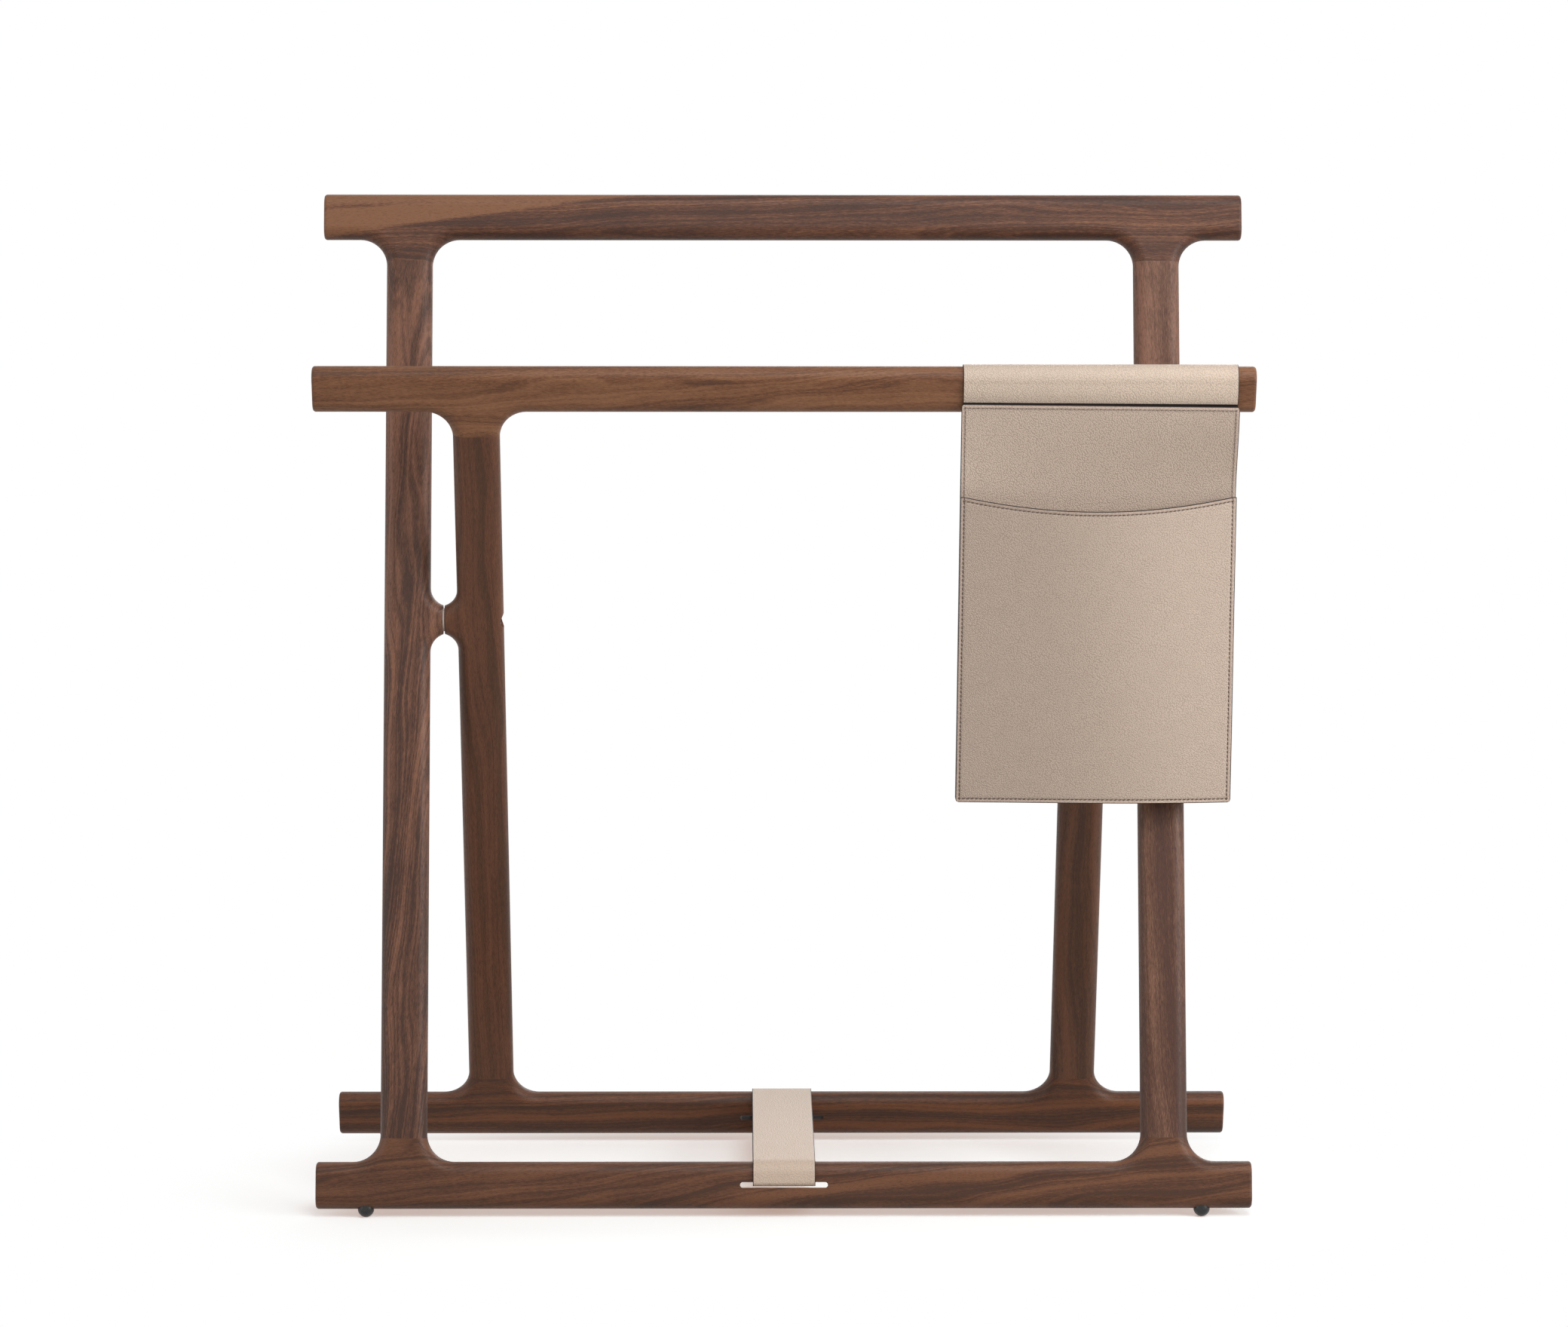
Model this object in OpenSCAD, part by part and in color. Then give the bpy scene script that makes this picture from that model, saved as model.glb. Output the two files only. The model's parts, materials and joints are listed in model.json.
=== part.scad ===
// Folding two-rail rack. An outer and an inner walnut frame cross at a pivot in each side, a leather
// strap through the lower rails holds them open, and a leather pocket hangs on the upper front rail.
// Millimetres, +Z up, X along the rails, front towards -Y, origin on the floor under the pivots.

/* [Frame] */
// Length of every rail
rail_l = 600; // [560:10:720]
// Width of rails and legs, in the plane of their frame
bar_w = 30; // [26:1:36]
// Depth of rails and legs, whose edges are full round
bar_d = 16; // [14:1:19]
// Lean of each frame from upright when the rack stands open
lean = 15; // [12:0.5:18]
// Pivot to the centre line of the lower rails
lower_l = 365; // [305:5:440]
// Pivot to the centre line of the upper rear rail
rear_l = 265; // [220:5:320]
// Pivot to the centre line of the upper front rail
front_l = 160; // [134:2:200]
// Middle of the rack to the centre line of an outer leg
outer_x = 244; // [230:1:255]
// Outer leg to inner leg, centre to centre
leg_pitch = 47.5; // [44:0.5:57]

/* [Joints in the wood] */
// Radius of the blend between a rail and a leg
blend_r = 17.5; // [14:0.5:21]
// Length of leg end that runs into the blend
run_in = 2.5; // [0.5:0.5:5]
// Edge round at the ends of the rails
end_r = 2; // [1:0.5:4]
// Width of a loose tenon
tenon_w = 20; // [14:1:24]
// Thickness of a loose tenon
tenon_t = 6; // [5:0.5:8]
// Length of a loose tenon, half in the rail and half in the leg
tenon_l = 40; // [30:1:50]
// Glue gap round a tenon, an insert, a sleeve or a stem
glue_gap = 0.05; // [0.02:0.01:0.1]

/* [Pivots] */
// Height of a boss at its face
boss_h = 19; // [17:0.5:23]
// Radius of the blend between a leg and its boss
boss_r = 12.25; // [10:0.25:15]
// Diameter of the pivot bolt
bolt_d = 6; // [5:0.5:6.5]
// Diameter of the bolt's head
head_d = 9; // [8:0.5:10]
// Height of the bolt's head
head_h = 3; // [2:0.5:4]
// Depth of the recess for the head, from the edge of the inner leg
recess_depth = 5; // [4:0.5:8]
// Outside diameter of the sleeve that the bolt turns in
sleeve_d = 8; // [7.5:0.5:10]
// Outside diameter of the threaded insert
insert_d = 10; // [9:0.5:11]
// Length of the threaded insert
insert_l = 14; // [10:1:18]
// Diameter of the washer between two bosses
washer_d = 15; // [12:0.5:16]
// Thickness of the washer between two bosses
washer_t = 1; // [0.6:0.1:2]
// Radial running clearance of a bolt in its sleeve
run_fit = 0.05; // [0.01:0.01:0.1]
// Gap between flat faces that turn past each other
face_gap = 0.1; // [0.1:0.05:0.4]

/* [Glides] */
// Diameter of a glide
glide_d = 10.5; // [8.5:0.5:12.5]
// Middle of the rack to a glide
glide_x = 268; // [262:1:272]
// Diameter of a glide's stem
stem_d = 4; // [3:0.5:5]
// Length of a glide's stem
stem_l = 10; // [6:1:14]
// Height that is pressed flat at the foot of a glide
glide_flat = 0.15; // [0.1:0.05:0.4]

/* [Tie strap] */
// Width of the strap
strap_w = 40; // [30:1:50]
// Thickness of the strap
strap_t = 1.6; // [1.2:0.1:2]
// Length of the slots in the lower rails
slot_l = 56.5; // [56:0.5:70]
// Height of the slots in the lower rails
slot_h = 3.5; // [3.2:0.1:4.5]
// Radius of the strap's fold at the mouth of a slot
fold_r = 2; // [1.8:0.1:2.2]
// Radius at which the lower run of the strap straightens out of a slot
ease_r = 30; // [20:5:60]
// Length of the sewn lap that closes the strap
lap_l = 34; // [20:1:60]

/* [Pocket] */
// Width of the pocket
pocket_w = 177; // [160:1:182]
// Height of the pocket
pocket_h = 255; // [210:5:270]
// Middle of the rack to the middle of the pocket
pocket_x = 201; // [198:1:205]
// Slant that the pocket hangs with, in its own plane
slant = 0.6; // [0:0.1:1.2]
// Centre line of the upper front rail down to the top edge of the pocket
pocket_drop = 7.3; // [6:0.1:9]
// Thickness of the leaves of the pocket
leaf_t = 1.6; // [1.2:0.1:2.4]
// Top edge of the pocket down to the corners of its mouth
mouth_drop = 58.5; // [40:0.5:80]
// Depth of the curve of the mouth
mouth_sag = 8.5; // [4:0.5:14]
// Level margin at each end of the mouth
mouth_margin = 2.4; // [1:0.1:5]
// Width of the welt between the leaves
welt_w = 7; // [6:0.5:12]
// Thickness of the welt, which is the room inside the pocket
welt_t = 5; // [4.6:0.1:8]
// Corner radius of the leaves
leaf_r = 2; // [1:0.5:5]

/* [Hanger of the pocket] */
// Thickness of the leather
hanger_t = 1; // [0.8:0.1:1.4]
// How much narrower than the pocket it is, on each side
hanger_inset = 1; // [0.5:0.5:4]
// Length of its seam margin behind the pocket's top edge
seam_l = 6; // [4:0.5:8]
// End of the flap on the rail's back face, below the rail's centre line
flap_drop = 4; // [0:0.5:6]
// Width of the two closing tabs, which pass under the rail on both sides of the leg
tab_w = 26; // [18:1:27]
// End of the tabs on the rail's back face, above the rail's centre line
tab_rise = 8; // [6:0.5:12]
// Diameter of a press stud's cap
stud_d = 10; // [8:0.5:12]
// Height of a press stud's cap
stud_h = 1.4; // [1:0.1:2]
// Gap between leather and what it lies on
leather_gap = 0.3; // [0.3:0.05:0.5]

/* [Hidden] */
$fn = 64;

LEFT = -1;
RIGHT = 1;
WALNUT = "#5d4135";
PALE_WALNUT = "#76523a";
LEATHER = "#bfa892";
STEEL = "#b9babb";
BRASS = "#b08d4f";
NYLON = "#e9e7e2";
RUBBER = "#1b1b1c";

// Section of every bar: a flat core with a half-round edge along each side
edge_r = bar_d / 2;
core_w = bar_w - bar_d;
half_w = bar_w / 2;

// Legs: glue line and end of the blend, both from the edge of the rail
stub_h = blend_r - run_in;
inner_x = outer_x - leg_pitch;

// Bosses: from the leg's axis to the face, and where their blend leaves the leg
boss_reach = (leg_pitch - washer_t - face_gap) / 2;
boss_arc = min(boss_reach - half_w, boss_r);
boss_y = boss_h / 2 + sqrt(pow(boss_r, 2) - pow(boss_r - boss_arc, 2));
boss_straight = boss_reach - half_w - boss_arc;

// Pivot parts along X, from the middle of the rack outwards
recess_x = inner_x - half_w + recess_depth;
inner_face_x = inner_x + boss_reach;
outer_face_x = outer_x - boss_reach;
insert_sink = 0.5;
recess_room = 0.5;

// Glides sit in a flat seat cut into the rail's rounded edge
glide_r = glide_d / 2;
seat_depth = edge_r - sqrt(pow(edge_r, 2) - pow(glide_r + glue_gap, 2));

// Height of the pivots, which stands the glides' feet on the floor
pivot_z = (lower_l + half_w) * cos(lean) + glide_r - glide_flat;

// Middle of the strap's thickness round the rails' edges
strap_r = edge_r + leather_gap + strap_t / 2;

// Middle of the hanger's thickness round the rail, and of the tabs outside its back flap
hanger_r = edge_r + leather_gap + hanger_t / 2;
tab_r = hanger_r + hanger_t + leather_gap;
hanger_w = pocket_w - 2 * hanger_inset;
stud_u = (tab_rise - flap_drop) / 2;
stud_post_d = 4;

// The pocket's top edge clears the leaning hanger over its whole width, slant included
seam_gap = leather_gap + pocket_w / 2 * sin(slant) * tan(lean);
seam = inner_point(front_l - pocket_drop, -(hanger_r + hanger_t / 2 + seam_gap));

// The pocket hangs plumb if its foot is clear of the outer leg there, and else leans on that leg
foot_gap = 0.5;
foot_drop = pocket_h + pocket_w / 2 * sin(slant);
leg_room = (seam[1] - pivot_z) * sin(lean) - seam[0] * cos(lean) - bar_d / 2 - foot_gap;
pocket_lift = max(0, lean - asin(leg_room / foot_drop));

// ---------------------------------------------------------------- places

// Points of the two frames as [y, z]: u up the frame from the pivot, n square to it towards the back
function outer_point(u, n) = [u * sin(lean) + n * cos(lean), pivot_z + u * cos(lean) - n * sin(lean)];
function inner_point(u, n) = [n * cos(lean) - u * sin(lean), pivot_z + u * cos(lean) + n * sin(lean)];

// Stands up a frame that is drawn flat: X along the rails, Y up the frame from the pivot, Z its front
module stand(tilt) translate([0, 0, pivot_z]) rotate([90 + tilt, 0, 0]) children();
module outer_frame() stand(-lean) children();
module inner_frame() stand(lean) children();

// Right-hand parts as drawn, left-hand parts mirrored
module on_side(side) mirror([side == LEFT ? 1 : 0, 0, 0]) children();

// A profile drawn in the side view, as [y, z], taken w along X about the middle of the rack
module across(w) rotate([90, 0, 90]) linear_extrude(w, center = true) children();

// A shape turned about an axis along X, drawn as [radius, x]
module turned_on_x() rotate([0, 90, 0]) rotate_extrude() children();

// Points along an arc; the arcs of a strip are joined by straight runs
function arc(centre, r, from, to) =
    let (steps = ceil(abs(to - from) / 9))
    [for (i = [0:steps]) let (a = from + (to - from) * i / steps) centre + r * [cos(a), sin(a)]];
function reversed(points) = [for (i = [len(points) - 1:-1:0]) points[i]];

// ---------------------------------------------------------------- bars with full-round edges

module half_disc(r) intersection() {
    circle(r);
    translate([0, -r]) square([r, 2 * r]);
}

// Edge along X from x0 to x1, with its crest on the X axis and the wood below it
module edge_run(x0, x1)
    translate([x0, -edge_r, 0]) rotate([90, 0, 90]) linear_extrude(x1 - x0) half_disc(edge_r);

// Inside corner between two bars whose edges would meet at the origin, filled to radius r
module blend(r) {
    linear_extrude(bar_d, center = true) difference() {
        translate([-half_w, -half_w]) square(r + half_w);
        translate([r, r]) circle(r + edge_r);
    }
    translate([r, r, 0]) rotate_extrude(angle = 90, start = 180)
        translate([r + edge_r, 0]) mirror([1, 0]) half_disc(edge_r);
}

// The part of a rail-to-leg blend between two heights over the rail's edge; the leg stands on Y
module tee(from, to) intersection() {
    for (side = [0, 1]) mirror([side, 0, 0]) translate([half_w, 0, 0]) blend(blend_r);
    translate([-half_w - blend_r, from, -bar_d / 2]) cube([bar_w + 2 * blend_r, to - from, bar_d]);
}

// Flat end of a rail at x = 0 with an eased rim, end_r long
module rail_end() {
    rim();
    for (side = [0, 1]) mirror([0, side, 0]) translate([0, core_w / 2, 0])
        rotate([0, 90, 0]) rotate_extrude(angle = 180) rim_profile();
}
module rim() rotate([90, 0, 0]) linear_extrude(core_w, center = true)
    for (face = [0, 1]) mirror([0, face]) mirror([1, -1]) rim_profile();
module rim_profile() {
    square([edge_r - end_r, end_r]);
    translate([edge_r - end_r, 0]) intersection() {
        circle(end_r);
        square(end_r);
    }
}

// A rail with a stub for each leg, drawn with its stubs up and its centre line on X
module rail(leg_x) {
    end_x = rail_l / 2 - end_r;
    near = leg_x - half_w - blend_r;
    far = leg_x + half_w + blend_r;
    difference() {
        union() {
            linear_extrude(bar_d, center = true) square([2 * end_x, core_w], center = true);
            translate([0, -half_w, 0]) mirror([0, 1, 0]) edge_run(-end_x, end_x);
            for (run = [[-end_x, -far], [-near, near], [far, end_x]])
                translate([0, half_w, 0]) edge_run(run[0], run[1]);
            for (side = [LEFT, RIGHT]) {
                on_side(side) translate([end_x, 0, 0]) rail_end();
                translate([side * leg_x, half_w, 0]) tee(-half_w, stub_h);
            }
        }
        for (side = [LEFT, RIGHT]) translate([side * leg_x, half_w + stub_h, 0]) mortise();
    }
}

// A lower rail also has the strap's slot and the seats of its two glides
module lower_rail(leg_x) difference() {
    rail(leg_x);
    linear_extrude(bar_d + 2, center = true) slot_profile();
    for (side = [LEFT, RIGHT]) translate([side * glide_x, -half_w, 0]) rotate([-90, 0, 0]) glide_seat();
}
module slot_profile() {
    square([slot_l - slot_h, slot_h], center = true);
    for (side = [LEFT, RIGHT]) translate([side * (slot_l - slot_h) / 2, 0]) circle(slot_h / 2);
}

// A leg with its boss towards +X, from the lower rail to the upper one; Y = 0 is the pivot
module leg(upper_l) {
    low = -lower_l + half_w;
    high = upper_l - half_w;
    linear_extrude(bar_d, center = true)
        translate([-core_w / 2, low + stub_h]) square([core_w, high - low - 2 * stub_h]);
    rotate(90) translate([0, half_w, 0]) edge_run(low + blend_r, high - blend_r);
    rotate(-90) translate([0, half_w, 0]) {
        edge_run(-high + blend_r, -boss_y);
        edge_run(boss_y, -low - blend_r);
    }
    translate([0, low, 0]) tee(stub_h, blend_r);
    translate([0, high, 0]) mirror([0, 1, 0]) tee(stub_h, blend_r);
    boss();
}

// Boss on a leg's side: two blends that run out at its face
module boss() {
    intersection() {
        for (end = [0, 1]) mirror([0, end, 0]) translate([half_w + boss_r, boss_y, 0]) {
            linear_extrude(bar_d, center = true) difference() {
                translate([-half_w - boss_r, -boss_y]) square([half_w + boss_r, boss_y]);
                circle(boss_r + edge_r);
            }
            rotate_extrude(angle = 90, start = 180)
                translate([boss_r + edge_r, 0]) mirror([1, 0]) half_disc(edge_r);
        }
        translate([0, -boss_y, -bar_d / 2]) cube([boss_reach - boss_straight, 2 * boss_y, bar_d]);
    }
    if (boss_straight > 0) translate([boss_reach - boss_straight, 0, 0]) {
        linear_extrude(bar_d, center = true)
            translate([0, -(boss_h - bar_d) / 2]) square([boss_straight, boss_h - bar_d]);
        for (end = [0, 1]) mirror([0, end, 0]) translate([0, boss_h / 2, 0]) edge_run(0, boss_straight);
    }
}

// ---------------------------------------------------------------- loose tenons

module tenon_profile(gap) {
    square([tenon_w - tenon_t, tenon_t + 2 * gap], center = true);
    for (side = [LEFT, RIGHT]) translate([side * (tenon_w - tenon_t) / 2, 0]) circle(tenon_t / 2 + gap);
}
module tenon() rotate([90, 0, 0]) linear_extrude(tenon_l, center = true) tenon_profile(0);
module mortise() rotate([90, 0, 0]) linear_extrude(tenon_l + 1, center = true) tenon_profile(glue_gap);

// Height of the glue line over the pivot, at the lower rail and under an upper one
lower_glue = -lower_l + half_w + stub_h;
function upper_glue(upper_l) = upper_l - half_w - stub_h;

// ---------------------------------------------------------------- glides

// Drawn on Z with the rail's edge at 0 and the wood above it
module glide_profile() {
    intersection() {
        circle(glide_r);
        translate([0, -glide_r]) square(glide_r);
    }
    square([glide_r, seat_depth]);
    square([stem_d / 2, seat_depth + stem_l]);
}
module glide_seat() {
    translate([0, 0, -edge_r]) cylinder(r = glide_r + glue_gap, h = edge_r + seat_depth + glue_gap);
    cylinder(r = stem_d / 2 + glue_gap, h = seat_depth + stem_l + 1);
}

// ---------------------------------------------------------------- wooden frames

module lower_front_rail() color(WALNUT)
    outer_frame() translate([0, -lower_l, 0]) lower_rail(outer_x);
module upper_rear_rail() color(WALNUT)
    outer_frame() translate([0, rear_l, 0]) mirror([0, 1, 0]) rail(outer_x);
module lower_rear_rail() color(WALNUT)
    inner_frame() translate([0, -lower_l, 0]) lower_rail(inner_x);
module upper_front_rail() color(PALE_WALNUT)
    inner_frame() translate([0, front_l, 0]) mirror([0, 1, 0]) rail(inner_x);

// Boss towards the middle, bored for the threaded insert
module outer_leg(side) color(WALNUT) outer_frame() on_side(side) difference() {
    translate([outer_x, 0, 0]) mirror([1, 0, 0]) leg(rear_l);
    for (glue = [lower_glue, upper_glue(rear_l)]) translate([outer_x, glue, 0]) mortise();
    translate([outer_face_x - 1, 0, 0]) rotate([0, 90, 0])
        cylinder(d = insert_d + 2 * glue_gap, h = insert_l + insert_sink + 2);
}

// Boss outwards, bored for the sleeve, with a recess for the bolt's head in its inner edge
module inner_leg(side) color(WALNUT) inner_frame() on_side(side) difference() {
    translate([inner_x, 0, 0]) leg(front_l);
    for (glue = [lower_glue, upper_glue(front_l)]) translate([inner_x, glue, 0]) mortise();
    translate([recess_x - bar_w, 0, 0]) rotate([0, 90, 0]) {
        cylinder(d = sleeve_d + 2 * glue_gap, h = 3 * bar_w);
        cylinder(d = head_d + 2 * recess_room, h = bar_w);
    }
}

module outer_left_leg() outer_leg(LEFT);
module outer_right_leg() outer_leg(RIGHT);
module inner_left_leg() inner_leg(LEFT);
module inner_right_leg() inner_leg(RIGHT);

module outer_tenon(side, glue) color(PALE_WALNUT) outer_frame() translate([side * outer_x, glue, 0]) tenon();
module inner_tenon(side, glue) color(PALE_WALNUT) inner_frame() translate([side * inner_x, glue, 0]) tenon();
module lower_front_left_tenon() outer_tenon(LEFT, lower_glue);
module lower_front_right_tenon() outer_tenon(RIGHT, lower_glue);
module upper_rear_left_tenon() outer_tenon(LEFT, upper_glue(rear_l));
module upper_rear_right_tenon() outer_tenon(RIGHT, upper_glue(rear_l));
module upper_front_left_tenon() inner_tenon(LEFT, upper_glue(front_l));
module upper_front_right_tenon() inner_tenon(RIGHT, upper_glue(front_l));
module lower_rear_left_tenon() inner_tenon(LEFT, lower_glue);
module lower_rear_right_tenon() inner_tenon(RIGHT, lower_glue);

// A glide is square to its frame; its foot is flat on the floor
module glide(side, tilt) color(RUBBER) difference() {
    stand(tilt) translate([side * glide_x, -lower_l - half_w, 0])
        rotate([-90, 0, 0]) rotate_extrude() glide_profile();
    translate([side * glide_x - glide_d, -lower_l, -glide_d]) cube([2 * glide_d, 2 * lower_l, glide_d]);
}
module front_left_glide() glide(LEFT, -lean);
module front_right_glide() glide(RIGHT, -lean);
module rear_left_glide() glide(LEFT, lean);
module rear_right_glide() glide(RIGHT, lean);

// ---------------------------------------------------------------- pivots

// Hexagon socket bolt: its head lies in the inner leg's recess, its end in the outer leg's insert
module pivot_bolt(side) color(STEEL) on_side(side) translate([recess_x - face_gap - head_h, 0, pivot_z]) {
    difference() {
        turned_on_x() {
            square([head_d / 2 - 0.4, head_h]);
            translate([0, 0.4]) square([head_d / 2, head_h - 0.4]);
        }
        translate([-1, 0, 0]) rotate([0, 90, 0]) cylinder(d = bolt_d * 0.77, h = 1 + head_h * 0.7, $fn = 6);
    }
    translate([head_h, 0, 0]) rotate([0, 90, 0])
        cylinder(d = bolt_d, h = outer_face_x + insert_l - recess_x);
}

module pivot_insert(side) color(BRASS) on_side(side) translate([outer_face_x + insert_sink, 0, pivot_z])
    turned_on_x() translate([bolt_d / 2 + glue_gap, 0])
        square([(insert_d - bolt_d) / 2 - glue_gap, insert_l]);

module pivot_washer(side) color(NYLON) on_side(side) translate([inner_face_x + face_gap, 0, pivot_z])
    turned_on_x() translate([bolt_d / 2 + 0.2, 0]) square([(washer_d - bolt_d) / 2 - 0.2, washer_t]);

module pivot_sleeve(side) color(BRASS) on_side(side) translate([recess_x, 0, pivot_z])
    turned_on_x() translate([bolt_d / 2 + run_fit, 0])
        square([(sleeve_d - bolt_d) / 2 - run_fit, inner_face_x - recess_x]);

module left_pivot_bolt() pivot_bolt(LEFT);
module right_pivot_bolt() pivot_bolt(RIGHT);
module left_pivot_insert() pivot_insert(LEFT);
module right_pivot_insert() pivot_insert(RIGHT);
module left_pivot_washer() pivot_washer(LEFT);
module right_pivot_washer() pivot_washer(RIGHT);
module left_pivot_sleeve() pivot_sleeve(LEFT);
module right_pivot_sleeve() pivot_sleeve(RIGHT);

// ---------------------------------------------------------------- tie strap

// Front half of the closed strap, off from the middle of its thickness: over the rail's upper edge,
// down its front face, back through its slot and on to the middle of the lower run
function strap_half(off) = concat(
    arc(outer_point(-lower_l + core_w / 2, 0), strap_r + off, 90, 180 - lean),
    arc(outer_point(-lower_l + fold_r, fold_r - strap_r), fold_r + off, 180 - lean, 270 - lean),
    arc(outer_point(-lower_l + ease_r, edge_r), ease_r + off, 270 - lean, 270)
);
function strap_loop(off) =
    let (front = strap_half(off))
    concat(front, [for (p = reversed(front)) [-p[0], p[1]]]);
strap_low = outer_point(-lower_l + ease_r, edge_r)[1] - ease_r;

module tie_strap() color(LEATHER) across(strap_w) {
    difference() {
        polygon(strap_loop(strap_t / 2));
        polygon(strap_loop(-strap_t / 2));
    }
    translate([-lap_l / 2, strap_low + strap_t / 2]) square([lap_l, strap_t]);
}

// ---------------------------------------------------------------- pocket hanger

// Sections round the upper front rail, drawn from its centre line as [n, u]. Both start on the back
// face and go over the top and down the front; the tabs go on round the bottom and up the back again.
function over_rail(off) = concat(
    [[hanger_r + off, -flap_drop]],
    arc([0, core_w / 2], hanger_r + off, 0, 180)
);
function flap_path(off) = concat(over_rail(off), [[-hanger_r - off, -pocket_drop - seam_l]]);
function tab_path(off) = concat(
    over_rail(off),
    arc([0, -core_w / 2], hanger_r + off, 180, 270),
    arc([0, -core_w / 2 - hanger_r + tab_r], tab_r + off, 270, 360),
    [[tab_r + off, tab_rise]]
);
module strip_section(outside, inside) polygon(concat(outside, reversed(inside)));
module round_rail(w) across(w) translate(inner_point(front_l, 0)) rotate(lean) children();

tab_x = (hanger_w - tab_w) / 2;

module pocket_hanger() color(LEATHER) difference() {
    translate([pocket_x, 0, 0]) {
        round_rail(hanger_w - 2 * tab_w)
            strip_section(flap_path(hanger_t / 2), flap_path(-hanger_t / 2));
        for (side = [LEFT, RIGHT]) translate([side * tab_x, 0, 0]) round_rail(tab_w)
            strip_section(tab_path(hanger_t / 2), tab_path(-hanger_t / 2));
    }
    for (side = [LEFT, RIGHT]) at_stud(side) cylinder(d = stud_post_d + 2 * glue_gap, h = 4 * tab_r, center = true);
}

// Press studs close the tabs on the back flap; Z is the stud's axis, out of the rail's back
module at_stud(side) inner_frame() translate([pocket_x + side * tab_x, front_l + stud_u, -tab_r])
    rotate([180, 0, 0]) children();
module press_stud(side) color(STEEL) at_stud(side) rotate_extrude() {
    translate([0, hanger_t / 2 + glue_gap]) {
        square([stud_d / 2, stud_h / 2]);
        translate([0, stud_h / 2]) intersection() {
            translate([stud_d / 2 - stud_h / 2, 0]) circle(stud_h / 2);
            square([stud_d / 2, stud_h / 2]);
        }
        square([(stud_d - stud_h) / 2, stud_h]);
    }
    translate([0, -1.5 * hanger_t - leather_gap])
        square([stud_post_d / 2, 2 * hanger_t + leather_gap + stud_h]);
}
module left_press_stud() press_stud(LEFT);
module right_press_stud() press_stud(RIGHT);

// ---------------------------------------------------------------- pocket

// Drawn flat from the middle of its top edge: X across, Y up, taken back from its front face
module hung(from_back, t) translate([pocket_x, seam[0], seam[1]]) rotate([-pocket_lift, 0, 0])
    rotate([0, slant, 0]) translate([0, -from_back, 0]) rotate([90, 0, 0]) linear_extrude(t) children();

module leaf_outline(inset) offset(leaf_r)
    translate([-pocket_w / 2 + inset + leaf_r, -pocket_h + inset + leaf_r])
        square([pocket_w - 2 * (inset + leaf_r), pocket_h - 2 * (inset + leaf_r)]);

// Everything over the corners of the mouth and over its hollow curve
mouth_r = (pow(pocket_w / 2 - mouth_margin, 2) + pow(mouth_sag, 2)) / (2 * mouth_sag);
module over_mouth() {
    translate([-pocket_w, -mouth_drop]) square([2 * pocket_w, 2 * mouth_drop]);
    translate([0, -mouth_drop - mouth_sag + mouth_r]) circle(mouth_r, $fn = 360);
}

module pocket_back_leaf() color(LEATHER) hung(0, leaf_t) leaf_outline(0);
module pocket_welt() color(LEATHER) hung(leaf_t, welt_t) difference() {
    leaf_outline(0);
    translate([0, welt_w]) translate([-pocket_w / 2 + welt_w, -pocket_h])
        square([pocket_w - 2 * welt_w, 2 * pocket_h]);
    translate([-pocket_w, -mouth_drop]) square([2 * pocket_w, 2 * mouth_drop]);
}
module pocket_front_leaf() color(LEATHER) hung(leaf_t + welt_t, leaf_t) difference() {
    leaf_outline(0);
    over_mouth();
}

lower_front_rail();
upper_rear_rail();
outer_left_leg();
outer_right_leg();
upper_front_rail();
lower_rear_rail();
inner_left_leg();
inner_right_leg();
lower_front_left_tenon();
lower_front_right_tenon();
upper_rear_left_tenon();
upper_rear_right_tenon();
upper_front_left_tenon();
upper_front_right_tenon();
lower_rear_left_tenon();
lower_rear_right_tenon();
left_pivot_bolt();
right_pivot_bolt();
left_pivot_insert();
right_pivot_insert();
left_pivot_washer();
right_pivot_washer();
left_pivot_sleeve();
right_pivot_sleeve();
front_left_glide();
front_right_glide();
rear_left_glide();
rear_right_glide();
tie_strap();
pocket_hanger();
left_press_stud();
right_press_stud();
pocket_back_leaf();
pocket_front_leaf();
pocket_welt();
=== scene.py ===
"""A folding rack in oiled walnut with a taupe leather pocket: its finishes, leather work and studio.

The wooden bars, glides and pivot fittings are the frame's own solids with a new finish. The leather is
modelled here: the tie strap, the hanger over the front rail, the two leaves of the pocket with the welt
between them, and the stitches that hold them. Everything is in metres, in the frame's own axes.
"""

import json
import logging
import math
from dataclasses import dataclass, field
from enum import Enum
from functools import partial
from itertools import accumulate
from typing import Any, Callable, Iterable, Sequence

import bmesh
import bpy
from mathutils import Euler, Matrix, Vector


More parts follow.
